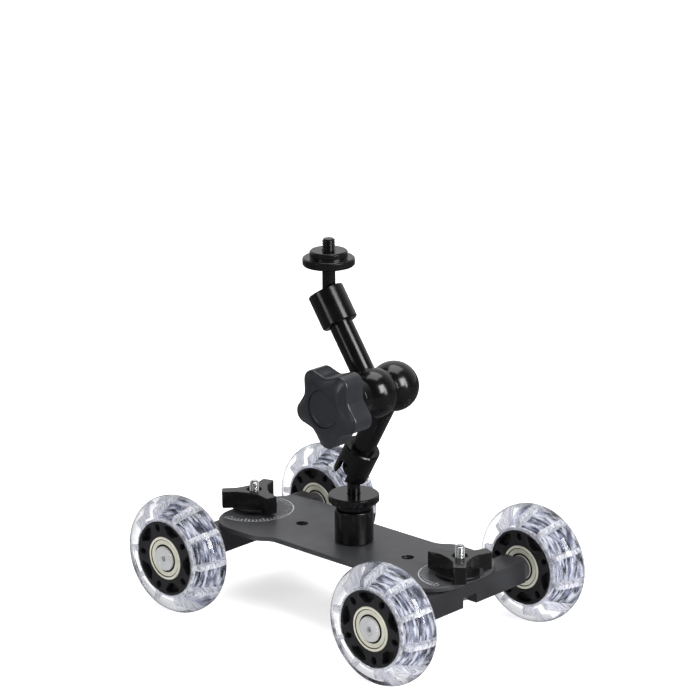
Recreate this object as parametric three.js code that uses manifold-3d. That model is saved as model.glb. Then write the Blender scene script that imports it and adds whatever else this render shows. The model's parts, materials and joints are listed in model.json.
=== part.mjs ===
// Tabletop camera slider: a black deck plate on two steerable axle beams with clear skate wheels,
// a riser post and a two-section friction arm whose centre joint is locked by a star knob.
// Millimetres. Origin on the ground under the post, +X along the deck, +Z up.
import * as THREE from "three";
import { mergeVertices } from "three/addons/utils/BufferGeometryUtils.js";
import Module from "manifold-3d";

const wasm = await Module();
wasm.setup();

// ---------- driving dimensions ----------
const GAP = 0.3; // clearance between neighbouring pieces
const HALF_WHEELBASE = 69.3;
const HALF_TRACK = 54.3; // deck centre line to the middle of a wheel

const WHEEL_RADIUS = 30;
const TYRE_HALF_WIDTH = 10;
const TYRE_CROWN = 9; // height of the rounded tread above the tyre's side walls
const TYRE_GROOVE_HALF_WIDTH = 8;
const CORE_HALF_WIDTH = 7.7;
const CORE_WALL_RADIUS = 20.8;
const CORE_RIB_RADIUS = 24.2;
const CORE_RIBS = 10;
const CORE_RIB_WIDTH = 2.4;
const HUB_RADIUS = 19;
const HUB_HALF_WIDTH = 9.1;
const HUB_SHOULDER_RADIUS = 8;
const POCKET_DEPTH = 4;
const POCKET_PITCH = 72; // degrees between large pockets; a small one sits midway
const BEARING_RADIUS = 11;
const BEARING_BORE_RADIUS = 4.2;
const BEARING_WIDTH = 7;
const SPACER_RADIUS = 5.8;
const AXLE_RADIUS = 3.8;
const AXLE_HEAD_RADIUS = 6.1;
const AXLE_HEAD_HEIGHT = 0.8;
const AXLE_SOCKET_RADIUS = 2.8;
const AXLE_SOCKET_DEPTH = 1.8;
const AXLE_THREAD_LENGTH = 18; // how far an axle screw runs into its beam
const BOSS_RADIUS = 6.2;
// Direction of one large hub pocket at rest, in degrees about the axle.
const WHEEL_PHASES = { front_near: 26, front_far: 12, rear_near: 0, rear_far: 40 };

const DECK_TOP = 39.5;
const DECK_THICKNESS = 2.5;
const DECK_HALF_LENGTH = 77;
const DECK_END_HALF_WIDTH = 29.6;
const DECK_WAIST_HALF_WIDTH = 24.2;
const DECK_CORNER_RADIUS = 20;
const DECK_SHOULDER_X = 44; // where the full width begins
const DECK_WAIST_X = 30; // where the waist ends
const ACCESSORY_HOLE_X = 35.7;
const ACCESSORY_HOLE_RADIUS = 2.65; // quarter-inch thread, at its minor diameter

const BEAM_WIDTH = 13;
const BEAM_HALF_LENGTH = 41;
const BEAM_BOTTOM = 25;
const NOTCH_WIDTH = 9.5;
const NOTCH_DEPTH = 4.9;

const PIVOT_RADIUS = 2.4; // M5 bolt
const PIVOT_TOP = 54.5;
const PIVOT_HEAD_RADIUS = 4.3;
const PIVOT_HEAD_HEIGHT = 2.6;
const LOCK_KNOB_HEIGHT = 9.1;
const LOCK_ARM_REACH = 16.4;
const LOCK_ARM_HALF_WIDTH = 3.2;
const LOCK_ARM_STRAIGHT = 9; // how near the axis an arm keeps its full width
const LOCK_VALLEY_RADIUS = 6.6;
const LOCK_SKIRT_RADIUS = 11.6;
const LOCK_SKIRT_HEIGHT = 1.5;
const LOCK_RECESS_RADIUS = 3.8;
const LOCK_RECESS_DEPTH = 1;
const LOCK_NUT_RADIUS = 4.4;
const LOCK_NUT_HEIGHT = 3;
const LOCK_KNOB_TURNS = { front: 71, rear: 108 }; // direction of one arm, degrees from +X
const LOCK_KNOB_LIFTS = { front: 0, rear: 0.9 }; // how far each knob is backed off the deck

const POST_RADIUS = 9.65;
const POST_TOP = 56.3;
const POST_BORE_RADIUS = 3.5;
const POST_SCREW_RADIUS = 3.1;
const POST_SCREW_HEAD_RADIUS = 5.6;
const POST_SCREW_HEAD_HEIGHT = 3;
const POST_SCREW_TOP = 46;

const LOWER_ARM = { length: 54.2, lean: 29.7 }; // ball centre to centre bolt, and degrees from upright
const UPPER_ARM = { length: 50, lean: -34.6 };
const LOWER_BALL_Z = 77.9;
const BALL_RADIUS = 5.5;
const STUD_RADIUS = 3.2; // quarter-inch stud
const STUD_LENGTH = 30;
const LOWER_DISC_SEAT = 21.3; // ball centre to the lock disc's flat seat
const UPPER_DISC_SEAT = 24.3;
const DISC_HEIGHT = 7.4;
const DISC_FLANGE_RADIUS = 12.6;
const DISC_FLANGE_HEIGHT = 4;
const DISC_HUB_RADIUS = 9.2;
const SOCKET_RADIUS = 8.9;
const SOCKET_BORE_RADIUS = 6;
const SOCKET_MOUTH_RADIUS = 7.6;
const SOCKET_RIM = 4.5; // rim beyond the ball centre
const SOCKET_LENGTH = 17.8;
const SOCKET_FLOOR = 6.6; // ball centre to the end of the arm tube
const SLOT_WIDTH = 7.4;
const SLOT_DEPTH = 10;
const TUBE_RADIUS = 5.8;
const TUBE_BORE_RADIUS = 2.4;
const PUSH_ROD_RADIUS = 2;
const HINGE_BALL_RADIUS = 12.25;
const HINGE_OFFSET = 14.7; // between the two hinge ball centres, along the centre bolt
const HINGE_BORE_RADIUS = 3.6;
const HINGE_BOSS_RADIUS = 8.6;
const HINGE_BOSS_END = 13.4; // hinge ball centre to the boss's outer face
const CENTRE_BOLT_RADIUS = 3;
const CENTRE_BOLT_HEAD_RADIUS = 5;
const CENTRE_BOLT_HEAD_SEAT = 6; // hinge ball centre to the underside of the bolt's head
const CENTRE_BOLT_HEAD_HEIGHT = 4;
const COLLAR_RADIUS = 9.6;
const COLLAR_FACE_Y = -35.7;
const STAR_FACE_Y = -50;
const STAR_BACK_Y = -36;
const STAR_RADIUS = 20;
const STAR_VALLEY_RADIUS = 14.8;
const STAR_LOBE_RADIUS = 5.4;
const STAR_LOBES = 5;
const STAR_TURN = 55; // direction of one lobe, degrees from +X towards +Z
const STAR_CAP_RADIUS = 9.2;
const STAR_CAP_THICKNESS = 2.2;
const STAR_CAP_RECESS = 0.7;
const STAR_NUT_RADIUS = 5;
const STAR_NUT_LENGTH = 8;

const FINE = 24; // segments round large turned pieces
const MEDIUM = 18;
const COARSE = 12;
const CUT = 1; // how far a cutter runs past the surface that it cuts

// ---------- materials ----------
function finish(color, roughness, metalness, opacity = 1) {
  return new THREE.MeshStandardMaterial({
    color,
    roughness,
    metalness,
    opacity,
    transparent: opacity < 1,
  });
}

const ANODISED = finish(0x2b2b2e, 0.45, 0.6);
const GLOSS_BLACK = finish(0x0b0b0c, 0.18, 0.5);
const BLACK_PLASTIC = finish(0x19191b, 0.6, 0);
const KNOB_PLASTIC = finish(0x2c2d31, 0.55, 0);
const CLEAR_PU = finish(0xe6e9f0, 0.1, 0, 0.35);
const CLEAR_CORE = finish(0xd8dce6, 0.2, 0, 0.5);
const STEEL = finish(0xb9b7ad, 0.3, 0.9);
const ZINC = finish(0xd5d7d8, 0.25, 0.9);
const BRASS = finish(0xb08d4a, 0.35, 0.9);

// ---------- geometry helpers ----------
const radians = THREE.MathUtils.degToRad;

// Keeps only positions, merges shared corners and drops triangles of no area.
function clean(geometry) {
  const bare = new THREE.BufferGeometry();
  const flat = geometry.index ? geometry.toNonIndexed() : geometry;
  bare.setAttribute("position", flat.getAttribute("position"));
  const merged = mergeVertices(bare, 1e-4);
  const corners = merged.index.array;
  const kept = [];
  for (let i = 0; i < corners.length; i += 3) {
    const [a, b, c] = corners.slice(i, i + 3);
    if (a !== b && b !== c && c !== a) kept.push(a, b, c);
  }
  merged.setIndex(kept);
  return merged;
}

function toSolid(geometry) {
  const bare = clean(geometry);
  const mesh = new wasm.Mesh({
    numProp: 3,
    vertProperties: new Float32Array(bare.getAttribute("position").array),
    triVerts: new Uint32Array(bare.index.array),
  });
  return new wasm.Manifold(mesh);
}

function toGeometry(solid) {
  const mesh = solid.getMesh();
  const geometry = new THREE.BufferGeometry();
  geometry.setAttribute("position", new THREE.BufferAttribute(new Float32Array(mesh.vertProperties), 3));
  geometry.setIndex(new THREE.BufferAttribute(new Uint32Array(mesh.triVerts), 1));
  geometry.computeVertexNormals();
  return geometry;
}

function join(...geometries) {
  return toGeometry(geometries.map(toSolid).reduce((whole, part) => whole.add(part)));
}

function cut(geometry, ...tools) {
  return toGeometry(tools.map(toSolid).reduce((whole, tool) => whole.subtract(tool), toSolid(geometry)));
}

// Turns a closed outline of [radius, height] points, listed anticlockwise, about the Z axis.
function revolve(outline, segments) {
  const points = outline.map(([radius, height]) => new THREE.Vector2(radius, height));
  if (outline[0][0] > 0) points.push(points[0].clone());
  return clean(new THREE.LatheGeometry(points, segments).rotateX(Math.PI / 2));
}

function rod(radius, from, to, segments = COARSE) {
  return revolve([[0, from], [radius, from], [radius, to], [0, to]], segments);
}

function ring(inner, outer, from, to, segments = MEDIUM) {
  return revolve([[inner, from], [outer, from], [outer, to], [inner, to]], segments);
}

function prism(outline, from, to, curveSegments = 6) {
  const shape = outline instanceof THREE.Shape ? outline : new THREE.Shape(outline);
  const options = { depth: to - from, bevelEnabled: false, curveSegments };
  return clean(new THREE.ExtrudeGeometry(shape, options).translate(0, 0, from));
}

function block(width, depth, height, x = 0, y = 0, z = 0) {
  return new THREE.BoxGeometry(width, depth, height).translate(x, y, z);
}

function polar(radius, degrees) {
  return new THREE.Vector2(radius * Math.cos(radians(degrees)), radius * Math.sin(radians(degrees)));
}

function piece(name, geometry, material) {
  const mesh = new THREE.Mesh(geometry, material);
  mesh.name = name;
  return mesh;
}

// ---------- wheels ----------
// Wheel pieces are drawn about the Z axis, with z = 0 in the middle and +Z facing outboard.
function tyreGeometry() {
  const inner = HUB_RADIUS + GAP;
  const shoulder = WHEEL_RADIUS - TYRE_CROWN;
  const grooveTop = CORE_RIB_RADIUS + GAP;
  const side = TYRE_HALF_WIDTH - 0.6;
  const outline = [[inner, -TYRE_GROOVE_HALF_WIDTH], [inner, -side]];
  const steps = 6;
  for (let i = 0; i <= steps; i++) {
    const angle = radians(-90 + (180 * i) / steps);
    outline.push([shoulder + TYRE_CROWN * Math.cos(angle), TYRE_HALF_WIDTH * Math.sin(angle)]);
  }
  outline.push([inner, side], [inner, TYRE_GROOVE_HALF_WIDTH]);
  outline.push([grooveTop, TYRE_GROOVE_HALF_WIDTH], [grooveTop, -TYRE_GROOVE_HALF_WIDTH]);
  return revolve(outline, FINE);
}

function coreGeometry() {
  const outline = [];
  const halfRib = THREE.MathUtils.radToDeg(CORE_RIB_WIDTH / 2 / CORE_RIB_RADIUS);
  for (let i = 0; i < CORE_RIBS; i++) {
    const middle = (360 / CORE_RIBS) * i;
    outline.push(polar(CORE_WALL_RADIUS, middle - halfRib), polar(CORE_RIB_RADIUS, middle - halfRib));
    outline.push(polar(CORE_RIB_RADIUS, middle + halfRib), polar(CORE_WALL_RADIUS, middle + halfRib));
  }
  const shape = new THREE.Shape(outline);
  shape.holes.push(circlePath(0, HUB_RADIUS + GAP, MEDIUM));
  return prism(shape, -CORE_HALF_WIDTH, CORE_HALF_WIDTH);
}

// A rounded triangle that narrows towards the bearing, and a small oval between two of them.
function pocketOutlines() {
  const outer = HUB_RADIUS - 1.3;
  const inner = BEARING_RADIUS + 2;
  const large = [polar(inner, 3), polar(inner, -3), polar(outer - 1.6, -15)];
  large.push(polar(outer, -8), polar(outer, 8), polar(outer - 1.6, 15));
  const small = [polar(inner + 0.8, 0), polar(15.6, -5), polar(outer - 0.5, 0), polar(15.6, 5)];
  return [large, small];
}

function hubGeometry() {
  const seat = BEARING_RADIUS + GAP;
  const shoulder = HUB_HALF_WIDTH - BEARING_WIDTH;
  const half = HUB_HALF_WIDTH;
  const outline = [[HUB_SHOULDER_RADIUS, -shoulder + GAP], [seat, -shoulder + GAP], [seat, -half]];
  outline.push([HUB_RADIUS, -half], [HUB_RADIUS, half], [seat, half], [seat, shoulder - GAP]);
  outline.push([HUB_SHOULDER_RADIUS, shoulder - GAP]);
  const pockets = [];
  pocketOutlines().forEach((pocket, kind) => {
    for (let turn = (kind * POCKET_PITCH) / 2; turn < 360; turn += POCKET_PITCH) {
      for (const [from, to] of [[half - POCKET_DEPTH, half + CUT], [-half - CUT, -half + POCKET_DEPTH]]) {
        pockets.push(prism(pocket, from, to).rotateZ(radians(turn)));
      }
    }
  });
  return cut(revolve(outline, FINE), ...pockets);
}

function axleScrewGeometry() {
  const seat = HUB_HALF_WIDTH + GAP;
  const top = seat + AXLE_HEAD_HEIGHT;
  const tip = BEAM_HALF_LENGTH - AXLE_THREAD_LENGTH - HALF_TRACK;
  const head = [[AXLE_HEAD_RADIUS, seat], [AXLE_HEAD_RADIUS, top - 0.4], [AXLE_HEAD_RADIUS - 0.4, top]];
  const recess = top - AXLE_SOCKET_DEPTH;
  const socket = [[AXLE_SOCKET_RADIUS, top], [AXLE_SOCKET_RADIUS, recess], [0, recess]];
  return revolve([[0, tip], [AXLE_RADIUS, tip], [AXLE_RADIUS, seat], ...head, ...socket], COARSE);
}

// Pieces that turn with a wheel, then the pieces that hold it to its beam.
function wheelPieces(prefix, phase) {
  const bearingIn = HUB_HALF_WIDTH - BEARING_WIDTH;
  const bearing = (from, to) => ring(BEARING_BORE_RADIUS, BEARING_RADIUS, from, to, MEDIUM);
  const spacerEnd = bearingIn - GAP;
  const spinning = new THREE.Group();
  spinning.add(
    piece(`${prefix}_tyre`, tyreGeometry(), CLEAR_PU),
    piece(`${prefix}_tyre_core`, coreGeometry(), CLEAR_CORE),
    piece(`${prefix}_hub`, hubGeometry(), BLACK_PLASTIC),
    piece(`${prefix}_outer_bearing`, bearing(bearingIn, HUB_HALF_WIDTH), STEEL),
    piece(`${prefix}_inner_bearing`, bearing(-HUB_HALF_WIDTH, -bearingIn), STEEL),
  );
  spinning.rotation.z = radians(phase);
  const bossFrom = BEAM_HALF_LENGTH + GAP - HALF_TRACK;
  const spacer = ring(BEARING_BORE_RADIUS, SPACER_RADIUS, -spacerEnd, spacerEnd, COARSE);
  const boss = ring(BEARING_BORE_RADIUS, BOSS_RADIUS, bossFrom, -HUB_HALF_WIDTH - GAP, MEDIUM);
  const fixed = new THREE.Group();
  fixed.add(
    spinning,
    piece(`${prefix}_bearing_spacer`, spacer, STEEL),
    piece(`${prefix}_axle_screw`, axleScrewGeometry(), ZINC),
    piece(`${prefix}_axle_boss`, boss, ANODISED),
  );
  return fixed;
}

// Stands a wheel up with its outboard face towards -Y (near side) or +Y (far side).
function placedWheel(prefix, x, side) {
  const wheel = new THREE.Group();
  const phase = WHEEL_PHASES[prefix];
  wheel.add(wheelPieces(prefix, phase));
  wheel.rotation.x = (-side * Math.PI) / 2;
  wheel.position.set(x, side * HALF_TRACK, WHEEL_RADIUS);
  return wheel;
}

// ---------- deck and axle beams ----------
function deckOutline() {
  const curve = new THREE.Path();
  const middle = (DECK_WAIST_X + DECK_SHOULDER_X) / 2;
  const corner = DECK_CORNER_RADIUS;
  const waist = DECK_WAIST_HALF_WIDTH;
  const wide = DECK_END_HALF_WIDTH;
  curve.moveTo(DECK_WAIST_X, waist);
  curve.bezierCurveTo(middle, waist, middle, wide, DECK_SHOULDER_X, wide);
  curve.lineTo(DECK_HALF_LENGTH - corner, wide);
  curve.absarc(DECK_HALF_LENGTH - corner, wide - corner, corner, Math.PI / 2, 0, true);
  const quarter = curve.getPoints(5);
  const backwards = [...quarter].reverse();
  const points = quarter.map((p) => [p.x, p.y]);
  points.push(...backwards.map((p) => [p.x, -p.y]));
  points.push(...quarter.map((p) => [-p.x, -p.y]));
  points.push(...backwards.map((p) => [-p.x, p.y]));
  return points.map(([x, y]) => new THREE.Vector2(x, y));
}

function circlePath(x, radius, segments = COARSE) {
  const centre = new THREE.Vector2(x, 0);
  const points = [];
  for (let i = 0; i < segments; i++) {
    points.push(polar(radius, (360 / segments) * i).add(centre));
  }
  return new THREE.Path(points);
}

function deckGeometry() {
  const shape = new THREE.Shape(deckOutline());
  for (const side of [-1, 1]) {
    shape.holes.push(circlePath(side * ACCESSORY_HOLE_X, ACCESSORY_HOLE_RADIUS));
    shape.holes.push(circlePath(side * HALF_WHEELBASE, PIVOT_RADIUS + GAP));
  }
  shape.holes.push(circlePath(0, POST_SCREW_RADIUS + GAP));
  return prism(shape, DECK_TOP - DECK_THICKNESS, DECK_TOP);
}

function beamGeometry() {
  const top = DECK_TOP - DECK_THICKNESS - GAP;
  const height = top - BEAM_BOTTOM;
  const beam = block(BEAM_WIDTH, 2 * BEAM_HALF_LENGTH, height, 0, 0, BEAM_BOTTOM + height / 2);
  const notch = block(BEAM_WIDTH + 2 * CUT, NOTCH_WIDTH, 2 * NOTCH_DEPTH, 0, 0, BEAM_BOTTOM);
  const pivot = rod(PIVOT_RADIUS + GAP, BEAM_BOTTOM, top + CUT);
  const bores = [-1, 1].map((side) => {
    const depth = AXLE_THREAD_LENGTH + 2;
    const bore = rod(AXLE_RADIUS + GAP, BEAM_HALF_LENGTH - depth, BEAM_HALF_LENGTH + CUT);
    return bore.rotateX((-side * Math.PI) / 2).translate(0, 0, WHEEL_RADIUS);
  });
  return cut(beam, notch, pivot, ...bores);
}

function pivotBoltGeometry() {
  const seat = BEAM_BOTTOM + NOTCH_DEPTH - GAP;
  const head = rod(PIVOT_HEAD_RADIUS, seat - PIVOT_HEAD_HEIGHT, seat, 6);
  const outline = [[0, seat - CUT], [PIVOT_RADIUS, seat - CUT], [PIVOT_RADIUS, PIVOT_TOP - 0.8]];
  outline.push([PIVOT_RADIUS - 0.8, PIVOT_TOP], [0, PIVOT_TOP]);
  return join(head, revolve(outline, COARSE));
}

// ---------- three-arm lock knob ----------
// Drawn with its underside at z = 0: three blunt arms with a hollow curve between each pair.
function lockKnobOutline() {
  const reach = LOCK_ARM_REACH;
  const half = LOCK_ARM_HALF_WIDTH;
  const corner = 0.9;
  const points = [];
  for (const turn of [0, 120, 240]) {
    const arm = [[LOCK_ARM_STRAIGHT, -half], [reach - corner, -half], [reach, -half + corner]];
    arm.push([reach, half - corner], [reach - corner, half], [LOCK_ARM_STRAIGHT, half]);
    const place = new THREE.Vector2();
    points.push(...arm.map(([x, y]) => new THREE.Vector2(x, y).rotateAround(place, radians(turn))));
    points.push(polar(LOCK_VALLEY_RADIUS + 0.5, turn + 42));
    points.push(polar(LOCK_VALLEY_RADIUS, turn + 60));
    points.push(polar(LOCK_VALLEY_RADIUS + 0.5, turn + 78));
  }
  return points;
}

function lockKnobGeometry() {
  const top = LOCK_KNOB_HEIGHT;
  const body = join(prism(lockKnobOutline(), 0, top), rod(LOCK_SKIRT_RADIUS, 0, LOCK_SKIRT_HEIGHT, FINE));
  const bore = rod(PIVOT_RADIUS + GAP, -CUT, top + CUT);
  const recess = rod(LOCK_RECESS_RADIUS, top - LOCK_RECESS_DEPTH, top + CUT);
  const nutSeat = rod(LOCK_NUT_RADIUS + GAP, -CUT, LOCK_NUT_HEIGHT + GAP, 6);
  return cut(body, bore, recess, nutSeat);
}

function lockNutGeometry() {
  const nut = rod(LOCK_NUT_RADIUS, 0, LOCK_NUT_HEIGHT, 6);
  return cut(nut, rod(PIVOT_RADIUS + GAP, -CUT, LOCK_NUT_HEIGHT + CUT));
}

function axleAssembly(end, side) {
  const assembly = new THREE.Group();
  const turning = new THREE.Group();
  turning.add(
    piece(`${end}_lock_knob`, lockKnobGeometry(), BLACK_PLASTIC),
    piece(`${end}_lock_knob_nut`, lockNutGeometry(), STEEL),
  );
  turning.rotation.z = radians(LOCK_KNOB_TURNS[end]);
  turning.position.z = DECK_TOP + GAP + LOCK_KNOB_LIFTS[end];
  const fittings = new THREE.Group();
  fittings.add(
    piece(`${end}_axle_beam`, beamGeometry(), ANODISED),
    piece(`${end}_pivot_bolt`, pivotBoltGeometry(), ZINC),
    turning,
  );
  fittings.position.x = side * HALF_WHEELBASE;
  assembly.add(
    fittings,
    placedWheel(`${end}_near`, side * HALF_WHEELBASE, -1),
    placedWheel(`${end}_far`, side * HALF_WHEELBASE, 1),
  );
  return assembly;
}

// ---------- riser post ----------
function postPieces() {
  const bottom = DECK_TOP + GAP;
  const edge = 0.5;
  const outline = [[POST_BORE_RADIUS, bottom], [POST_RADIUS, bottom], [POST_RADIUS, POST_TOP - edge]];
  outline.push([POST_RADIUS - edge, POST_TOP], [POST_BORE_RADIUS, POST_TOP]);
  const screwSeat = DECK_TOP - DECK_THICKNESS - GAP;
  const headBottom = screwSeat - POST_SCREW_HEAD_HEIGHT;
  const head = POST_SCREW_HEAD_RADIUS;
  const screw = [[0, headBottom], [head - 1.2, headBottom], [head, headBottom + 1.6], [head, screwSeat]];
  screw.push([POST_SCREW_RADIUS, screwSeat], [POST_SCREW_RADIUS, POST_SCREW_TOP], [0, POST_SCREW_TOP]);
  return [
    piece("riser_post", revolve(outline, FINE), GLOSS_BLACK),
    piece("post_screw", revolve(screw, COARSE), ZINC),
  ];
}

// ---------- ball studs and lock discs ----------
// Drawn with the ball at the origin and the stud running along -Z.
function ballStudGeometry() {
  const neck = Math.asin(STUD_RADIUS / BALL_RADIUS);
  const steps = 6;
  const tip = -STUD_LENGTH;
  const outline = [[0, tip], [STUD_RADIUS - 0.6, tip], [STUD_RADIUS, tip + 0.6]];
  for (let i = 0; i <= steps; i++) {
    const angle = neck + ((Math.PI - neck) * i) / steps;
    outline.push([i === steps ? 0 : BALL_RADIUS * Math.sin(angle), -BALL_RADIUS * Math.cos(angle)]);
  }
  return revolve(outline, COARSE + 4);
}

function lockDiscGeometry(seatDistance) {
  const seat = -seatDistance;
  const flange = seat + DISC_HEIGHT;
  const step = flange - DISC_FLANGE_HEIGHT;
  const bore = STUD_RADIUS + GAP;
  const edge = 0.7;
  const hub = DISC_HUB_RADIUS;
  const rim = DISC_FLANGE_RADIUS;
  const outline = [[bore, seat], [hub - edge, seat], [hub, seat + edge], [hub, step], [rim - edge, step]];
  outline.push([rim, step + edge], [rim, flange - edge], [rim - edge, flange], [bore, flange]);
  return revolve(outline, FINE);
}

// ---------- friction arm ----------
// An arm is drawn with its hinge ball at the origin, its ball socket along +Z and its flat mating face
// towards +Y. The socket's slot opens on the same side as the mating face.
function socketGeometry(length) {
  const rim = length + SOCKET_RIM;
  const foot = rim - SOCKET_LENGTH;
  const floor = length - SOCKET_FLOOR;
  const outline = [[TUBE_RADIUS + GAP, foot], [SOCKET_RADIUS - 0.8, foot], [SOCKET_RADIUS, foot + 0.8]];
  outline.push([SOCKET_RADIUS, rim - 0.5], [SOCKET_RADIUS - 0.5, rim], [SOCKET_MOUTH_RADIUS, rim]);
  outline.push([SOCKET_BORE_RADIUS, rim - 2.6], [SOCKET_BORE_RADIUS, floor], [TUBE_RADIUS + GAP, floor]);
  const slotFloor = rim - SLOT_DEPTH + SLOT_WIDTH / 2;
  const reach = SOCKET_RADIUS + CUT;
  const slot = block(SLOT_WIDTH, reach, SLOT_DEPTH, 0, reach / 2, slotFloor + SLOT_DEPTH / 2);
  const roundEnd = rod(SLOT_WIDTH / 2, 0, reach).rotateX(-Math.PI / 2).translate(0, 0, slotFloor);
  return cut(revolve(outline, FINE), slot, roundEnd);
}

function armTubeGeometry(length, boss) {
  const tubeEnd = length - SOCKET_FLOOR - GAP;
  const ball = new THREE.SphereGeometry(HINGE_BALL_RADIUS, FINE, 14);
  const tube = rod(TUBE_RADIUS, 0, tubeEnd, MEDIUM);
  const bossRod = rod(HINGE_BOSS_RADIUS, 0, HINGE_BOSS_END, MEDIUM).rotateX(Math.PI / 2);
  const body = boss ? join(ball, tube, bossRod) : join(ball, tube);
  const far = 2 * HINGE_BALL_RADIUS;
  const mating = HINGE_OFFSET / 2 - GAP / 2;
  const flat = block(far, HINGE_BALL_RADIUS, far, 0, mating + HINGE_BALL_RADIUS / 2, 0);
  const bolt = rod(HINGE_BORE_RADIUS, -far, far).rotateX(-Math.PI / 2);
  const pushRod = rod(TUBE_BORE_RADIUS, 0, length);
  const tools = [flat, bolt, pushRod];
  if (!boss) tools.push(rod(CENTRE_BOLT_HEAD_RADIUS + GAP, CENTRE_BOLT_HEAD_SEAT, far).rotateX(Math.PI / 2));
  return cut(body, ...tools);
}

function pushRodGeometry(length) {
  const from = HINGE_BORE_RADIUS + GAP;
  const to = length - BALL_RADIUS - GAP;
  return revolve([[0, from], [PUSH_ROD_RADIUS, from + 1], [PUSH_ROD_RADIUS, to - 1], [0, to]], COARSE);
}

function armPieces(prefix, length, boss) {
  return [
    piece(`${prefix}_arm_tube`, armTubeGeometry(length, boss), GLOSS_BLACK),
    piece(`${prefix}_socket`, socketGeometry(length), GLOSS_BLACK),
    piece(`${prefix}_push_rod`, pushRodGeometry(length), STEEL),
  ];
}

// ---------- centre joint ----------
// Drawn about the Z axis with +Z facing the user's side, then laid along -Y.
function centreBoltGeometry() {
  const seat = -CENTRE_BOLT_HEAD_SEAT - GAP;
  const top = seat - CENTRE_BOLT_HEAD_HEIGHT;
  const end = -STAR_FACE_Y - STAR_CAP_RECESS - STAR_CAP_THICKNESS - 1.5;
  const head = CENTRE_BOLT_HEAD_RADIUS;
  const outline = [[0, seat - 1.5], [2.5, seat - 1.5], [2.5, top], [head - 0.5, top], [head, top + 0.5]];
  outline.push([head, seat], [CENTRE_BOLT_RADIUS, seat], [CENTRE_BOLT_RADIUS, end], [0, end]);
  return revolve(outline, COARSE + 4);
}

// Round lobes joined by concave arcs, as one outline.
function starOutline() {
  const centre = STAR_RADIUS - STAR_LOBE_RADIUS;
  const pitch = 360 / STAR_LOBES;
  const points = [];
  for (let lobe = 0; lobe < STAR_LOBES; lobe++) {
    const middle = lobe * pitch;
    const seat = polar(centre, middle);
    for (let step = -2; step <= 2; step++) {
      const rim = polar(STAR_LOBE_RADIUS, middle + step * 30);
      points.push(new THREE.Vector2(seat.x + rim.x, seat.y + rim.y));
    }
    points.push(polar(STAR_VALLEY_RADIUS + 0.8, middle + pitch * 0.37));
    points.push(polar(STAR_VALLEY_RADIUS, middle + pitch / 2));
    points.push(polar(STAR_VALLEY_RADIUS + 0.8, middle + pitch * 0.63));
  }
  return points;
}

function starKnobGeometry() {
  const back = -STAR_BACK_Y;
  const face = -STAR_FACE_Y;
  const domeStart = face - 5;
  const wide = STAR_RADIUS + CUT;
  const dome = [[0, back - CUT], [wide, back - CUT], [wide, domeStart], [STAR_RADIUS - 1.4, domeStart + 2.4]];
  dome.push([STAR_RADIUS - 6, face - 0.8], [STAR_CAP_RADIUS + 1, face], [0, face]);
  const blank = toSolid(prism(starOutline(), back, face)).intersect(toSolid(revolve(dome, FINE)));
  const capSeat = face - STAR_CAP_RECESS - STAR_CAP_THICKNESS - GAP;
  const capPocket = rod(STAR_CAP_RADIUS + GAP, capSeat, face + CUT, FINE);
  const bore = rod(CENTRE_BOLT_RADIUS + GAP, back - CUT, capSeat + CUT);
  const nutPocket = rod(STAR_NUT_RADIUS + GAP, back - CUT, back + STAR_NUT_LENGTH + GAP, COARSE);
  return cut(toGeometry(blank), capPocket, bore, nutPocket);
}

function centrePieces() {
  const back = -STAR_BACK_Y;
  const capTo = -STAR_FACE_Y - STAR_CAP_RECESS;
  const bolt = CENTRE_BOLT_RADIUS + GAP;
  const bossFace = HINGE_OFFSET + HINGE_BOSS_END + GAP;
  const star = new THREE.Group();
  star.add(
    piece("star_knob", starKnobGeometry(), KNOB_PLASTIC),
    piece("star_knob_cap", rod(STAR_CAP_RADIUS, capTo - STAR_CAP_THICKNESS, capTo, FINE), KNOB_PLASTIC),
    piece("star_knob_nut", ring(bolt, STAR_NUT_RADIUS, back, back + STAR_NUT_LENGTH, COARSE), BRASS),
  );
  star.rotation.z = radians(STAR_TURN);
  const joint = new THREE.Group();
  joint.add(
    piece("centre_bolt", centreBoltGeometry(), ZINC),
    piece("clamp_collar", ring(bolt, COLLAR_RADIUS, bossFace, -COLLAR_FACE_Y), GLOSS_BLACK),
    star,
  );
  joint.rotation.x = Math.PI / 2;
  return joint;
}

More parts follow.
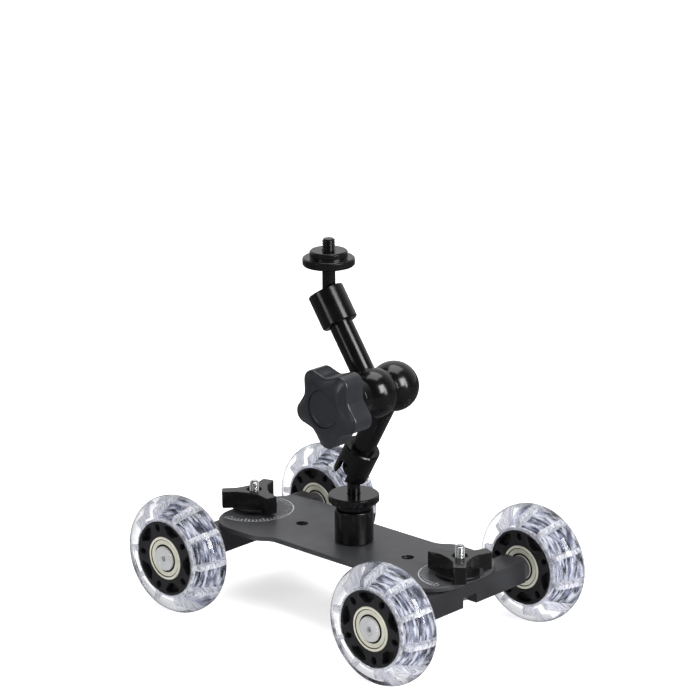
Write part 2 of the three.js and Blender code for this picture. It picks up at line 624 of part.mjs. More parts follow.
function armAssembly() {
  const arm = new THREE.Group();
  const lowerBall = new THREE.Vector3(0, 0, LOWER_BALL_Z);
  const direction = (lean) => new THREE.Vector3(Math.sin(radians(lean)), 0, Math.cos(radians(lean)));
  const hinge = lowerBall.clone().addScaledVector(direction(LOWER_ARM.lean), LOWER_ARM.length);

  const lowerStud = new THREE.Group();
  lowerStud.add(
    piece("lower_ball_stud", ballStudGeometry(), GLOSS_BLACK),
    piece("lower_lock_disc", lockDiscGeometry(LOWER_DISC_SEAT), GLOSS_BLACK),
  );
  lowerStud.position.copy(lowerBall);

  const lowerArm = new THREE.Group();
  lowerArm.add(...armPieces("lower", LOWER_ARM.length, false));
  lowerArm.rotation.set(Math.PI, radians(LOWER_ARM.lean), 0, "YXZ");
  lowerArm.position.copy(hinge);

  const upperHinge = hinge.clone().setY(-HINGE_OFFSET);
  const upperArm = new THREE.Group();
  upperArm.add(...armPieces("upper", UPPER_ARM.length, true));
  upperArm.rotation.y = radians(UPPER_ARM.lean);
  upperArm.position.copy(upperHinge);

  const upperStud = new THREE.Group();
  upperStud.add(
    piece("upper_ball_stud", ballStudGeometry(), GLOSS_BLACK),
    piece("upper_lock_disc", lockDiscGeometry(UPPER_DISC_SEAT), GLOSS_BLACK),
  );
  upperStud.rotation.x = Math.PI;
  upperStud.position.copy(upperHinge).addScaledVector(direction(UPPER_ARM.lean), UPPER_ARM.length);

  const centre = centrePieces();
  centre.position.copy(hinge);
  arm.add(lowerStud, lowerArm, upperArm, upperStud, centre);
  return arm;
}

const cameraSlider = new THREE.Group();
cameraSlider.name = "camera_slider";
cameraSlider.add(
  piece("deck_plate", deckGeometry(), ANODISED),
  axleAssembly("front", 1),
  axleAssembly("rear", -1),
  ...postPieces(),
  armAssembly(),
);

export default cameraSlider;
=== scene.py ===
"""Camera slider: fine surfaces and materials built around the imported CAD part.

Each piece is drawn in millimetres in its own axes, and show() places it in the frame, in metres.
"""
import json
import math

import bmesh
import bpy
from mathutils import Matrix, Vector


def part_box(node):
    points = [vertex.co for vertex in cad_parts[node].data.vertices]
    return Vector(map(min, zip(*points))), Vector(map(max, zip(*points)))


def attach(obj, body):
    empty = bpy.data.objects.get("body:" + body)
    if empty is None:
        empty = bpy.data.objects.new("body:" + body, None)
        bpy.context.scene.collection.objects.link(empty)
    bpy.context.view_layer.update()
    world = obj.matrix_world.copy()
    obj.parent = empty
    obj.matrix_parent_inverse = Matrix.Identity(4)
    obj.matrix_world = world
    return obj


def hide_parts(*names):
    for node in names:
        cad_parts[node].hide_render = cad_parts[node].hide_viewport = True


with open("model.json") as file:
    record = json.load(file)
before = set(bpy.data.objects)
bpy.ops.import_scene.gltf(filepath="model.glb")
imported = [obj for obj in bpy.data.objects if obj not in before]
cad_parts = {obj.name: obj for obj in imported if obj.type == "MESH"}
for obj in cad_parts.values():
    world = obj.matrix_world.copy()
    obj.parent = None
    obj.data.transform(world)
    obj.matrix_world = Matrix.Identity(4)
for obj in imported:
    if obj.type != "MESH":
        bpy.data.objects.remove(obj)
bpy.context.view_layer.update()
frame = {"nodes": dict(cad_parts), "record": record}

# ---------- driving dimensions, in millimetres ----------
METRES = 0.001
FINE = 128  # segments round large turned pieces
MEDIUM = 80
SMALL = 48
CUT = 1.0  # how far a cutter runs past the surface that it cuts
TOUCH = 0.03  # clearance between pieces that look pressed together

WHEEL_RADIUS = 30
TYRE_HALF_WIDTH = 10
TYRE_CROWN = 9
TYRE_SIDE = 9.4
TYRE_GROOVE_RADIUS = 24.5
TYRE_GROOVE_HALF_WIDTH = 8
CORE_HALF_WIDTH = 7.7
CORE_WALL_RADIUS = 20.6
CORE_RIB_RADIUS = 24.2
CORE_RIBS = 10
CORE_RIB_WIDTH = 2.4
CORE_FROST_WIDTH = 0.9
HUB_RADIUS = 19
HUB_HALF_WIDTH = 9.1
HUB_SHOULDER_RADIUS = 8
POCKET_DEPTH = 4
POCKET_PITCH = 72
BEARING_RADIUS = 11
BEARING_BORE = 4.2
BEARING_WIDTH = 7
SHIELD_OUTER = 9.3
SHIELD_INNER = 7.1
RACE_RADIUS = 6.2  # outside of the inner race
AXLE_RADIUS = 3.8
AXLE_HEAD_RADIUS = 6.1
AXLE_HEAD_RISE = 1.1  # how far the head stands out from the bearing
AXLE_RECESS_RADIUS = 3
AXLE_SOCKET_RADIUS = 1.6
AXLE_SOCKET_DEPTH = 2.3
AXLE_HEAD_EDGE = 0.4
AXLE_REACH = 31.3  # from the middle of a wheel to the tip of its screw
BOSS_RADIUS = 6.2
WHEEL_PHASES = {"front_near": 26, "front_far": 12, "rear_near": 0, "rear_far": 40}

DECK_THICKNESS = 2.5
DECK_HALF_LENGTH = 77
DECK_END_HALF_WIDTH = 29.6
DECK_WAIST_HALF_WIDTH = 24.2
DECK_CORNER_RADIUS = 20
DECK_SHOULDER_X = 44
DECK_WAIST_X = 30
ACCESSORY_HOLE_X = 35.7
ACCESSORY_HOLE_RADIUS = 2.65
ACCESSORY_THREAD_DEPTH = 0.45
HOLE_WALL_REACH = 3.5  # faces nearer than this to a hole are its wall
QUARTER_INCH_PITCH = 1.27
SCALE_RADIUS = 19.8
SCALE_SWEEP = 96  # degrees either side of the inward direction
SCALE_STEP = 6
SCALE_LINE = 0.62
SCALE_DEPTH = 0.15
SHORT_TICK = 2.6
LONG_TICK = 3.9

BEAM_WIDTH = 13
BEAM_HALF_LENGTH = 41
NOTCH_WIDTH = 9.5
NOTCH_DEPTH = 4.9
PIVOT_RADIUS = 2.4
PIVOT_PITCH = 0.8
PIVOT_HEAD_RADIUS = 4.3
PIVOT_HEAD_HEIGHT = 2.6
PIVOT_THREAD = 7
PIVOT_THREAD_DEPTH = 0.42
AXLE_HOLE_DEPTH = 20
LOCK_ARM_REACH = 16.4
LOCK_ARM_HALF_WIDTH = 3.2
LOCK_ARM_STRAIGHT = 9
LOCK_VALLEY_RADIUS = 6.6
LOCK_KNOB_HEIGHT = 9.1
LOCK_SKIRT_RADIUS = 11.6
LOCK_SKIRT_HEIGHT = 1.5
LOCK_RECESS_RADIUS = 3.8
LOCK_NUT_RADIUS = 4.7
LOCK_NUT_DEPTH = 3.3
LOCK_KNOB_TURNS = {"front": 71, "rear": 108}

POST_RADIUS = 9.65
POST_BORE = 3.5
POST_SCREW_HEAD_RADIUS = 5.6
POST_SCREW_RADIUS = 3.1
POST_SCREW_HEAD_HEIGHT = 3
POST_SOCKET_RADIUS = 2.3
POST_SOCKET_DEPTH = 2
BALL_RADIUS = 5.5
STUD_RADIUS = 3.2
STUD_LENGTH = 30
STUD_THREAD = 14
STUD_THREAD_DEPTH = 0.5
DISC_FLANGE_RADIUS = 12.6
DISC_FLANGE_HEIGHT = 4
DISC_HUB_RADIUS = 9.2
DISC_HEIGHT = 7.4
SOCKET_RADIUS = 8.9
SOCKET_BORE = 6
SOCKET_MOUTH = 7.6
SOCKET_RIM = 4.5
SOCKET_LENGTH = 17.8
SOCKET_FLOOR = 6.6
SOCKET_TAPER = 2.6
SLOT_WIDTH = 7.4
SLOT_DEPTH = 10
TUBE_RADIUS = 5.8
TUBE_BORE = 2.4
HINGE_BALL_RADIUS = 12.25
HINGE_BORE = 3.6
HINGE_BOSS_RADIUS = 8.6
HINGE_BOSS_END = 13.4
NECK_FILLET = 1.6
CENTRE_BOLT_RADIUS = 3
CENTRE_HEAD_RADIUS = 5
CENTRE_HEAD_SEAT = 6
CENTRE_HEAD_HEIGHT = 4
CENTRE_SOCKET_RADIUS = 2.9
COLLAR_RADIUS = 9.6
STAR_RADIUS = 20
STAR_VALLEY_RADIUS = 14.8
STAR_LOBE_RADIUS = 5.4
STAR_LOBES = 5
STAR_TURN = 55
STAR_SHOULDER_DEPTH = 3.4
STAR_ROLL = 1.1
STAR_CAP_RADIUS = 9.2
STAR_CAP_THICKNESS = 2.2
STAR_CAP_RECESS = 0.7
STAR_NUT_RADIUS = 5
STAR_NUT_LENGTH = 8

# ---------- the camera and the studio ----------
CAMERA_AZIMUTH = 43.318
CAMERA_ELEVATION = 16.984
CAMERA_ROLL = -0.436
CAMERA_DISTANCE = 1556.3
CAMERA_AIM = Vector((0, 0, 60))
CAMERA_SHIFT = (-1.919, 74.128)  # how far the camera is moved right and up from its aim
CAMERA_LENS = 162.851  # on a sensor 36 mm wide
AMBIENT = 0.62  # brightness of the surroundings for diffuse light
BACKDROP = 0.75  # and in reflections, behind the part and on the camera's side
ROOM = 0.035
FLOOR_GLOW = 0.5
FLOOR_IN_REFLECTIONS = 0.1


# ---------- places taken from the frame ----------
BODY_OF = {node: body for body, nodes in frame["record"]["behaviour"]["bodies"].items() for node in nodes}


def corners(node):
    low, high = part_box(node)
    return low / METRES, high / METRES


def middle(node):
    low, high = corners(node)
    return (low + high) / 2


def axes(origin, x, y, z):
    """The placement of a piece whose own axes lie along x, y and z."""
    turn = Matrix((x, y, z)).transposed().to_4x4()
    return Matrix.Translation(origin) @ turn


def turned(degrees):
    return Matrix.Rotation(math.radians(degrees), 4, "Z")


# ---------- outlines ----------
def polar(radius, degrees):
    return Vector((radius * math.cos(math.radians(degrees)), radius * math.sin(math.radians(degrees))))


def rounded(points, radius, steps=4, closed=True):
    """Rounds each corner to about that radius, or to less where its sides are short."""
    result = []
    last = len(points) - 1
    for i, point in enumerate(points):
        here = Vector(point)
        if not closed and i in (0, last):
            result.append(here)
            continue
        back = Vector(points[i - 1]) - here
        ahead = Vector(points[(i + 1) % len(points)]) - here
        half = back.angle(ahead) / 2
        if half > math.radians(88):
            result.append(here)
            continue
        reach = min(radius / math.tan(half), 0.45 * back.length, 0.45 * ahead.length)
        start = here + back.normalized() * reach
        end = here + ahead.normalized() * reach
        for step in range(steps + 1):
            t = step / steps
            result.append(start * (1 - t) ** 2 + here * (2 * t * (1 - t)) + end * t ** 2)
    return result


def inset(outline, distance):
    """Moves an anticlockwise outline inwards, or outwards where distance is negative."""
    result = []
    for i, point in enumerate(outline):
        before = (point - outline[i - 1]).normalized()
        after = (outline[(i + 1) % len(outline)] - point).normalized()
        along = (before + after).normalized()
        inwards = Vector((-along.y, along.x))
        spread = max(inwards.dot(Vector((-after.y, after.x))), 0.5)
        result.append(point + inwards * distance / spread)
    return result


def circle(radius, segments=SMALL):
    return [polar(radius, 360 * i / segments) for i in range(segments)]


# ---------- solids ----------
def mesh_from(bm):
    bmesh.ops.recalc_face_normals(bm, faces=bm.faces)
    mesh = bpy.data.meshes.new("draft")
    bm.to_mesh(mesh)
    bm.free()
    return mesh


def lathe(profile, segments=FINE, radius_at=None):
    """Turns (radius, height) points about Z: from axis to axis, or round a closed ring with a bore."""
    bm = bmesh.new()
    rings = []
    for radius, height in profile:
        if radius < 1e-6:
            rings.append([bm.verts.new((0, 0, height))])
            continue
        ring = []
        for i in range(segments):
            angle = 2 * math.pi * i / segments
            reach = radius_at(radius, height, angle) if radius_at else radius
            ring.append(bm.verts.new((reach * math.cos(angle), reach * math.sin(angle), height)))
        rings.append(ring)
    pairs = list(zip(rings, rings[1:]))
    if len(rings[0]) > 1:
        pairs.append((rings[-1], rings[0]))
    for lower, upper in pairs:
        for i in range(segments):
            j = (i + 1) % segments
            around = [lower[i % len(lower)], lower[j % len(lower)]]
            around += [upper[j % len(upper)], upper[i % len(upper)]]
            bm.faces.new(list(dict.fromkeys(around)))
    return mesh_from(bm)


def loft(rings):
    """Skins rings that have equally many 3-D points, and closes both ends."""
    bm = bmesh.new()
    rows = [[bm.verts.new(point) for point in ring] for ring in rings]
    count = len(rows[0])
    for lower, upper in zip(rows, rows[1:]):
        for i in range(count):
            j = (i + 1) % count
            bm.faces.new((lower[i], lower[j], upper[j], upper[i]))
    bm.faces.new(rows[0][::-1])
    bm.faces.new(rows[-1])
    return mesh_from(bm)


def at_height(outline, height):
    return [(point.x, point.y, height) for point in outline]


def slab(outline, low, high, edge, steps=3):
    """A prism whose top and bottom edges are rounded."""
    quarter = []
    for step in range(steps + 1):
        angle = math.pi / 2 * step / steps
        quarter.append((edge * (1 - math.sin(angle)), edge * (1 - math.cos(angle))))
    rings = [at_height(inset(outline, inwards), low + rise) for inwards, rise in quarter]
    rings += [at_height(inset(outline, inwards), high - rise) for inwards, rise in reversed(quarter)]
    return loft(rings)


def prism(outline, low, high):
    return loft([at_height(outline, low), at_height(outline, high)])


def flared(outline, floor, face, flare):
    """A cutter for a pocket that is open at face, with a chamfered mouth."""
    wide = inset(outline, -flare)
    out = CUT if face > floor else -CUT
    shoulder = face - flare if face > floor else face + flare
    rings = [at_height(outline, floor), at_height(outline, shoulder), at_height(wide, face)]
    rings.append(at_height(wide, face + out))
    return loft(rings)


def block(width, depth, height, centre=(0, 0, 0)):
    outline = [Vector((-width, -depth)) / 2, Vector((width, -depth)) / 2]
    outline += [Vector((width, depth)) / 2, Vector((-width, depth)) / 2]
    return moved(prism(outline, -height / 2, height / 2), Matrix.Translation(centre))


def rod(radius, low, high, segments=SMALL):
    return lathe([(0, low), (radius, low), (radius, high), (0, high)], segments)


def bore(radius, low, high, flare=0.3, segments=SMALL):
    """A cutter for a through hole, chamfered at both ends."""
    wide = radius + flare
    profile = [(0, low - CUT), (wide, low - CUT), (wide, low), (radius, low + flare)]
    profile += [(radius, high - flare), (wide, high), (wide, high + CUT), (0, high + CUT)]
    return lathe(profile, segments)


def moved(mesh, matrix):
    mesh.transform(matrix)
    return mesh


def baked(body, helpers=()):
    """The body's mesh with its modifiers applied. The objects that made it are removed."""
    depsgraph = bpy.context.evaluated_depsgraph_get()
    result = bpy.data.meshes.new_from_object(body.evaluated_get(depsgraph))
    for item in (body, *helpers):
        bpy.data.objects.remove(item)
    return result


def linked(name, mesh):
    obj = bpy.data.objects.new(name, mesh)
    bpy.context.scene.collection.objects.link(obj)
    return obj


def combined(mesh, tools, operation):
    body = linked("draft", mesh)
    helpers = [linked("tool", tool) for tool in tools]
    for helper in helpers:
        modifier = body.modifiers.new("combine", "BOOLEAN")
        modifier.solver = "MANIFOLD"
        modifier.operation = operation
        modifier.object = helper
    return baked(body, helpers)


def cut(mesh, *tools):
    return combined(mesh, tools, "DIFFERENCE")


def join(mesh, *others):
    return combined(mesh, others, "UNION")


def gathered(meshes):
    """One mesh that holds several separate solids."""
    bm = bmesh.new()
    for mesh in meshes:
        bm.from_mesh(mesh)
    return mesh_from(bm)


def eased(mesh, width, segments=2):
    """Rounds every edge that is sharper than 35 degrees."""
    body = linked("draft", mesh)
    modifier = body.modifiers.new("ease", "BEVEL")
    modifier.width = width
    modifier.segments = segments
    modifier.limit_method = "ANGLE"
    modifier.angle_limit = math.radians(35)
    return baked(body)


def thread(pitch, depth, low, high):
    """A radius for lathe() that winds a screw thread between two heights, fading at its ends."""
    def radius_at(radius, height, angle):
        fade = min(1, max(0, min(height - low, high - height) / (pitch / 2)))
        phase = (height / pitch - angle / (2 * math.pi)) % 1
        return radius - fade * depth * (0.5 - 0.5 * math.cos(2 * math.pi * phase))
    return radius_at


def steps_between(low, high, step):
    count = max(1, round((high - low) / step))
    return [low + (high - low) * i / count for i in range(count + 1)]


# ---------- materials ----------
def nodes_of(material):
    material.use_nodes = True
    tree = material.node_tree
    tree.nodes.clear()

    def add(kind, values=None, **settings):
        node = tree.nodes.new(kind)
        for key, value in settings.items():
            setattr(node, key, value)
        for key, value in (values or {}).items():
            node.inputs[key].default_value = value
        return node

    def link(source, target):
        tree.links.new(source, target)

    return add, link


def noise_of(add, link, coordinates, size, detail=3.0):
    """Noise whose features are about size millimetres across."""
    noise = add("ShaderNodeTexNoise", {"Scale": 1 / (size * METRES), "Detail": detail})
    link(coordinates, noise.inputs["Vector"])
    return noise.outputs["Fac"]


def ranged(add, link, source, low, high, start=0.3, end=0.7):
    """Noise between start and end, spread over two values."""
    node = add("ShaderNodeMapRange", {"From Min": start, "From Max": end, "To Min": low, "To Max": high})
    link(source, node.inputs["Value"])
    return node.outputs["Result"]


def solid_look(name, colour, roughness, metallic=0.0, mottle=0.12, mottle_size=9, grain=0.2, grain_size=0.35,
               coat=0.0):
    """A worn, slightly uneven finish: patches in colour and roughness, and a fine grain in relief."""
    material = bpy.data.materials.new(name)
    add, link = nodes_of(material)
    coordinates = add("ShaderNodeTexCoord").outputs["Object"]
    patches = noise_of(add, link, coordinates, mottle_size)
    grains = noise_of(add, link, coordinates, grain_size, detail=2.0)
    dark = [channel * (1 - mottle) for channel in colour]
    light = [min(1, channel * (1 + mottle)) for channel in colour]
    tint = add("ShaderNodeMix", {"A": (*dark, 1), "B": (*light, 1)}, data_type="RGBA")
    link(ranged(add, link, patches, 0, 1), tint.inputs["Factor"])
    values = {"Metallic": metallic, "Coat Weight": coat, "Coat Roughness": 0.06}
    shader = add("ShaderNodeBsdfPrincipled", values)
    link(tint.outputs["Result"], shader.inputs["Base Color"])
    uneven = ranged(add, link, patches, roughness * (1 - mottle), roughness * (1 + mottle))
    link(uneven, shader.inputs["Roughness"])
    bump = add("ShaderNodeBump", {"Strength": grain, "Distance": 0.03 * METRES})
    link(grains, bump.inputs["Height"])
    link(bump.outputs["Normal"], shader.inputs["Normal"])
    output = add("ShaderNodeOutputMaterial")
    link(shader.outputs["BSDF"], output.inputs["Surface"])
    return material


def clear_look(name, tint, edge_shade, ior):
    """Clear plastic, with grey shade painted where it is seen edge-on. Light reaches what is behind it as
    through a window.
    """
    material = bpy.data.materials.new(name)
    add, link = nodes_of(material)
    coordinates = add("ShaderNodeTexCoord").outputs["Object"]
    waves = noise_of(add, link, coordinates, 5)
    bump = add("ShaderNodeBump", {"Strength": 0.15, "Distance": 0.1 * METRES})
    link(waves, bump.inputs["Height"])
    facing = add("ShaderNodeLayerWeight", {"Blend": 0.45})
    # Painted shade: the colour turns grey where the surface is seen edge-on.
    colour = add("ShaderNodeMix", {"A": (*tint, 1), "B": (*edge_shade, 1)}, data_type="RGBA")
    link(facing.outputs["Facing"], colour.inputs["Factor"])
    glass = add("ShaderNodeBsdfPrincipled", {"IOR": ior, "Transmission Weight": 1.0})
    link(colour.outputs["Result"], glass.inputs["Base Color"])
    link(ranged(add, link, waves, 0.015, 0.05), glass.inputs["Roughness"])
    link(bump.outputs["Normal"], glass.inputs["Normal"])
    path = add("ShaderNodeLightPath")
    either = add("ShaderNodeMath", operation="MAXIMUM")
    link(path.outputs["Is Shadow Ray"], either.inputs[0])
    link(path.outputs["Is Diffuse Ray"], either.inputs[1])
    through = add("ShaderNodeBsdfTransparent", {"Color": (*tint, 1)})
    final = add("ShaderNodeMixShader")
    link(either.outputs["Value"], final.inputs["Fac"])
    link(glass.outputs["BSDF"], final.inputs[1])
    link(through.outputs["BSDF"], final.inputs[2])
    output = add("ShaderNodeOutputMaterial")
    link(final.outputs["Shader"], output.inputs["Surface"])
    return material


def streaked_look(name, colour, tint, open_share, closed_share, roughness=0.12, stretch=(1, 3, 1), size=2.2,
                  start=0.3, end=0.7):
    """Plastic that is clear in streaks and cloudy in others. The shares are how far light passes in each.

    Noise below start is all cloudy and noise above end is all clear.
    """
    material = bpy.data.materials.new(name)
    add, link = nodes_of(material)
    mapping = add("ShaderNodeMapping", {"Scale": stretch})
    link(add("ShaderNodeTexCoord").outputs["Object"], mapping.inputs["Vector"])
    streaks = noise_of(add, link, mapping.outputs["Vector"], size, detail=2.0)
    bump = add("ShaderNodeBump", {"Strength": 0.6, "Distance": 0.15 * METRES})
    link(streaks, bump.inputs["Height"])
    cloudy = add("ShaderNodeBsdfPrincipled", {"Base Color": (*colour, 1), "Roughness": roughness})
    link(bump.outputs["Normal"], cloudy.inputs["Normal"])
    clear = add("ShaderNodeBsdfTransparent", {"Color": (*tint, 1)})
    final = add("ShaderNodeMixShader")
    link(ranged(add, link, streaks, closed_share, open_share, start, end), final.inputs["Fac"])
    link(cloudy.outputs["BSDF"], final.inputs[1])
    link(clear.outputs["BSDF"], final.inputs[2])
    output = add("ShaderNodeOutputMaterial")
    link(final.outputs["Shader"], output.inputs["Surface"])
    return material


LOOKS = {
    "anodised_black": solid_look("anodised_black", (0.036, 0.037, 0.041), 0.4, grain=0.35, grain_size=0.3),
    # A darker copy of anodised_black. Its darkening is painted shade on the beams.
    "anodised_black_painted_shade": solid_look("anodised_black_painted_shade", (0.018, 0.018, 0.021), 0.4, grain=0.35, grain_size=0.3),
    "gloss_black_metal": solid_look("gloss_black_metal", (0.0025, 0.0025, 0.003), 0.2, mottle=0.2,
                                    grain=0.015),
    "black_nylon": solid_look("black_nylon", (0.014, 0.014, 0.016), 0.42, grain=0.3, grain_size=0.5),
    "black_nylon_polished": solid_look("black_nylon_polished", (0.004, 0.004, 0.0045), 0.22, grain=0.05),
    "knob_plastic": solid_look("knob_plastic", (0.014, 0.015, 0.019), 0.36, grain=0.2, grain_size=0.4,
                               coat=0.3),
    "clear_polyurethane": clear_look("clear_polyurethane", (0.96, 0.962, 0.972), (0.4, 0.41, 0.44), 1.46),
    "moulded_joint": streaked_look("moulded_joint", (0.78, 0.79, 0.81), (0.965, 0.965, 0.972), 1.0, 0.93),
    "clear_core": streaked_look("clear_core", (0.66, 0.665, 0.7), (0.9, 0.9, 0.93), 0.75, 0.0, 0.2),
    # The cloudy streaks on the window wall are painted glints of reflected light.
    "core_window_painted_glints": streaked_look("core_window_painted_glints", (0.56, 0.58, 0.66), (0.6, 0.62, 0.74), 1.0, 0.1, 0.1,
                                 (1, 5, 1), size=6, start=0.34, end=0.58),
    "bearing_steel": solid_look("bearing_steel", (0.66, 0.65, 0.55), 0.3, metallic=0.25, grain=0.15),
    "bearing_shield": solid_look("bearing_shield", (0.6, 0.59, 0.5), 0.36, metallic=0.25, grain=0.2),
    # Near black for the grooves round each shield: painted shade.
    "groove_painted_shade": solid_look("groove_painted_shade", (0.02, 0.02, 0.02), 0.6),
    "zinc_plate": solid_look("zinc_plate", (0.72, 0.73, 0.74), 0.25, metallic=0.5, grain=0.1),
    "bright_zinc": solid_look("bright_zinc", (0.72, 0.73, 0.74), 0.2, metallic=0.95, grain=0.1),
    "brass": solid_look("brass", (0.6, 0.42, 0.17), 0.3, metallic=1.0),
    "scale_paint": solid_look("scale_paint", (0.55, 0.56, 0.58), 0.5, mottle=0.3, mottle_size=2),
    # Near black inside the tapped holes: painted shade in the recess.
    "painted_hole_shade": solid_look("painted_hole_shade", (0.006, 0.006, 0.006), 0.5),
}


def show(node, mesh, place, *looks, rule=None, smooth=38):
    """Stands a fine piece in for a CAD node. Where there are several looks, rule picks one for each face."""
    fine = mesh.copy()
    fine.materials.clear()
    for name in looks:
        fine.materials.append(LOOKS[name])
    if rule:
        for face in fine.polygons:
            face.material_index = rule(face)
    fine.transform(Matrix.Scale(METRES, 4) @ place)
    fine.shade_smooth()
    fine.set_sharp_from_angle(angle=math.radians(smooth))
    obj = linked(f"{node}_fine", fine)
    weighted = obj.modifiers.new("normals", "WEIGHTED_NORMAL")
    weighted.keep_sharp = True
    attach(obj, BODY_OF[node])
    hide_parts(node)
    return obj


# ---------- wheels ----------
# Wheel pieces are drawn about the Z axis, with z = 0 in the middle and +Z facing outboard.
HALF_TRACK = middle("front_far_tyre").y


def tyre():
    inner = HUB_RADIUS + TOUCH
    shoulder = WHEEL_RADIUS - TYRE_CROWN
    profile = [Vector((inner, -TYRE_GROOVE_HALF_WIDTH)), Vector((inner, -TYRE_SIDE))]
    steps = 56
    for i in range(steps + 1):
        angle = math.pi * (i / steps - 0.5)
        profile.append(Vector((shoulder + TYRE_CROWN * math.cos(angle), TYRE_HALF_WIDTH * math.sin(angle))))
    profile += [Vector((inner, TYRE_SIDE)), Vector((inner, TYRE_GROOVE_HALF_WIDTH))]
    groove = [(inner + 0.4, TYRE_GROOVE_HALF_WIDTH), (TYRE_GROOVE_RADIUS, TYRE_GROOVE_HALF_WIDTH)]
    groove += [(TYRE_GROOVE_RADIUS, -TYRE_GROOVE_HALF_WIDTH), (inner + 0.4, -TYRE_GROOVE_HALF_WIDTH)]
    profile += rounded(groove, 0.6, closed=False)
    return lathe(profile)


def core():
    """A wall round the hub with a rib every 36 degrees. Both ends of the wall are frosted."""
    pitch = 360 / CORE_RIBS
    half_rib = math.degrees(CORE_RIB_WIDTH / 2 / CORE_RIB_RADIUS)
    outline = []
    for i in range(CORE_RIBS):
        direction = i * pitch
        outline.append(polar(CORE_WALL_RADIUS, direction - 1.3 * half_rib))
        outline.append(polar(CORE_RIB_RADIUS, direction - half_rib))
        outline.append(polar(CORE_RIB_RADIUS, direction + half_rib))
        outline.append(polar(CORE_WALL_RADIUS, direction + 1.3 * half_rib))
        for share in (0.2, 0.35, 0.5, 0.65, 0.8):
            outline.append(polar(CORE_WALL_RADIUS, direction + share * pitch))
    outline = anticlockwise(rounded(outline, 0.4, steps=3))
    half = CORE_HALF_WIDTH
    edge = 0.3
    frosted = half - CORE_FROST_WIDTH
    rings = [at_height(inset(outline, edge), -half), at_height(outline, edge - half)]
    rings += [at_height(outline, -frosted), at_height(outline, frosted)]
    rings += [at_height(outline, half - edge), at_height(inset(outline, edge), half)]
    return cut(loft(rings), rod(HUB_RADIUS + 2 * TOUCH, -half - CUT, half + CUT, FINE))


def window_rule(face):
    """0 for the frosted ribs and ends, 1 for the clear wall between them, which carries painted glint
    streaks.
    """
    reach = math.hypot(face.center.x, face.center.y)
    on_wall = reach < CORE_WALL_RADIUS + 0.2
    return 1 if on_wall and abs(face.center.z) < CORE_HALF_WIDTH - CORE_FROST_WIDTH + 0.1 else 0


def bond_rule(face):
    """1 where the tyre is moulded onto its core and hub, so that light crosses without bending."""
    reach = math.hypot(face.center.x, face.center.y)
    in_groove = abs(face.center.z) < TYRE_GROOVE_HALF_WIDTH + 0.02
    return 1 if in_groove and reach < TYRE_GROOVE_RADIUS + 0.05 else 0


def pocket_outlines():
    """A wide pocket that narrows towards the bearing, and a small oval between two of them."""
    outer = HUB_RADIUS - 1.2
    inner = BEARING_RADIUS + 1.9
    large = [polar(inner, -7), polar(15.2, -14), polar(outer - 1, -19), polar(outer, -12), polar(outer, -4)]
    large += [polar(outer, 4), polar(outer, 12), polar(outer - 1, 19), polar(15.2, 14), polar(inner, 7)]
    small = [Vector((15.6 + 2.0 * p.x, 1.55 * p.y)) for p in circle(1, 24)]
    return [anticlockwise(rounded(large, 1.2)), small]


def anticlockwise(outline):
    area = sum(a.x * b.y - b.x * a.y for a, b in zip(outline, outline[1:] + outline[:1]))
    return outline if area > 0 else outline[::-1]


def hub():
    seat = BEARING_RADIUS + TOUCH
    shoulder = HUB_HALF_WIDTH - BEARING_WIDTH - TOUCH
    half = HUB_HALF_WIDTH
    profile = [(HUB_SHOULDER_RADIUS, -shoulder), (seat, -shoulder), (seat, -half), (HUB_RADIUS, -half)]
    profile += [(HUB_RADIUS, half), (seat, half), (seat, shoulder), (HUB_SHOULDER_RADIUS, shoulder)]
    pockets = []
    for kind, outline in enumerate(pocket_outlines()):
        for i in range(5):
            for face in (half, -half):
                floor = face - POCKET_DEPTH if face > 0 else face + POCKET_DEPTH
                turn = turned((i + kind / 2) * POCKET_PITCH)
                pockets.append(moved(flared(outline, floor, face, 0.35), turn))
    return cut(lathe(rounded(profile, 0.45)), gathered(pockets))


def bearing():
    """A sealed bearing, 7 mm wide, with a recessed shield between its two races on each side."""
    half = BEARING_WIDTH / 2
    side = [(BEARING_BORE, half), (RACE_RADIUS, half), (RACE_RADIUS, half - 1.6), (SHIELD_INNER, half - 1.6)]
    side += [(SHIELD_INNER, half - 0.35), (SHIELD_OUTER, half - 0.35)]
    side += [(SHIELD_OUTER, half - 0.8), (SHIELD_OUTER + 0.4, half - 0.8), (SHIELD_OUTER + 0.4, half)]
    side += [(BEARING_RADIUS - 0.35, half), (BEARING_RADIUS, half - 0.35)]
    other = [(radius, -height) for radius, height in reversed(side)]
    return lathe(rounded(side + other, 0.14, steps=2))


def shield_rule(face):
    """0 for the races, 1 for the shield, 2 for the grooves either side of it, painted near black as shade."""
    reach = math.hypot(face.center.x, face.center.y)
    if abs(face.center.z) < BEARING_WIDTH / 2 - 0.4 and RACE_RADIUS - 0.1 < reach < SHIELD_OUTER + 0.5:
        return 2
    return 1 if SHIELD_INNER - 0.2 < reach < SHIELD_OUTER + 0.1 else 0


def axle_screw():
    seat = HUB_HALF_WIDTH + TOUCH
    top = HUB_HALF_WIDTH + AXLE_HEAD_RISE
    tip = -AXLE_REACH
    edge = AXLE_HEAD_EDGE
    profile = [(0, tip), (AXLE_RADIUS - 0.5, tip), (AXLE_RADIUS, tip + 0.5), (AXLE_RADIUS, seat)]
    head = [(AXLE_HEAD_RADIUS, seat), (AXLE_HEAD_RADIUS, top - edge), (AXLE_HEAD_RADIUS - edge, top)]
    head += [(AXLE_RECESS_RADIUS, top), (AXLE_RECESS_RADIUS - 0.3, top - edge), (0, top - edge)]
    body = lathe(rounded(profile + head, 0.25, steps=3, closed=False), MEDIUM)
    socket = prism(circle(AXLE_SOCKET_RADIUS, 6), top - AXLE_SOCKET_DEPTH, top + CUT)
    return cut(body, socket)


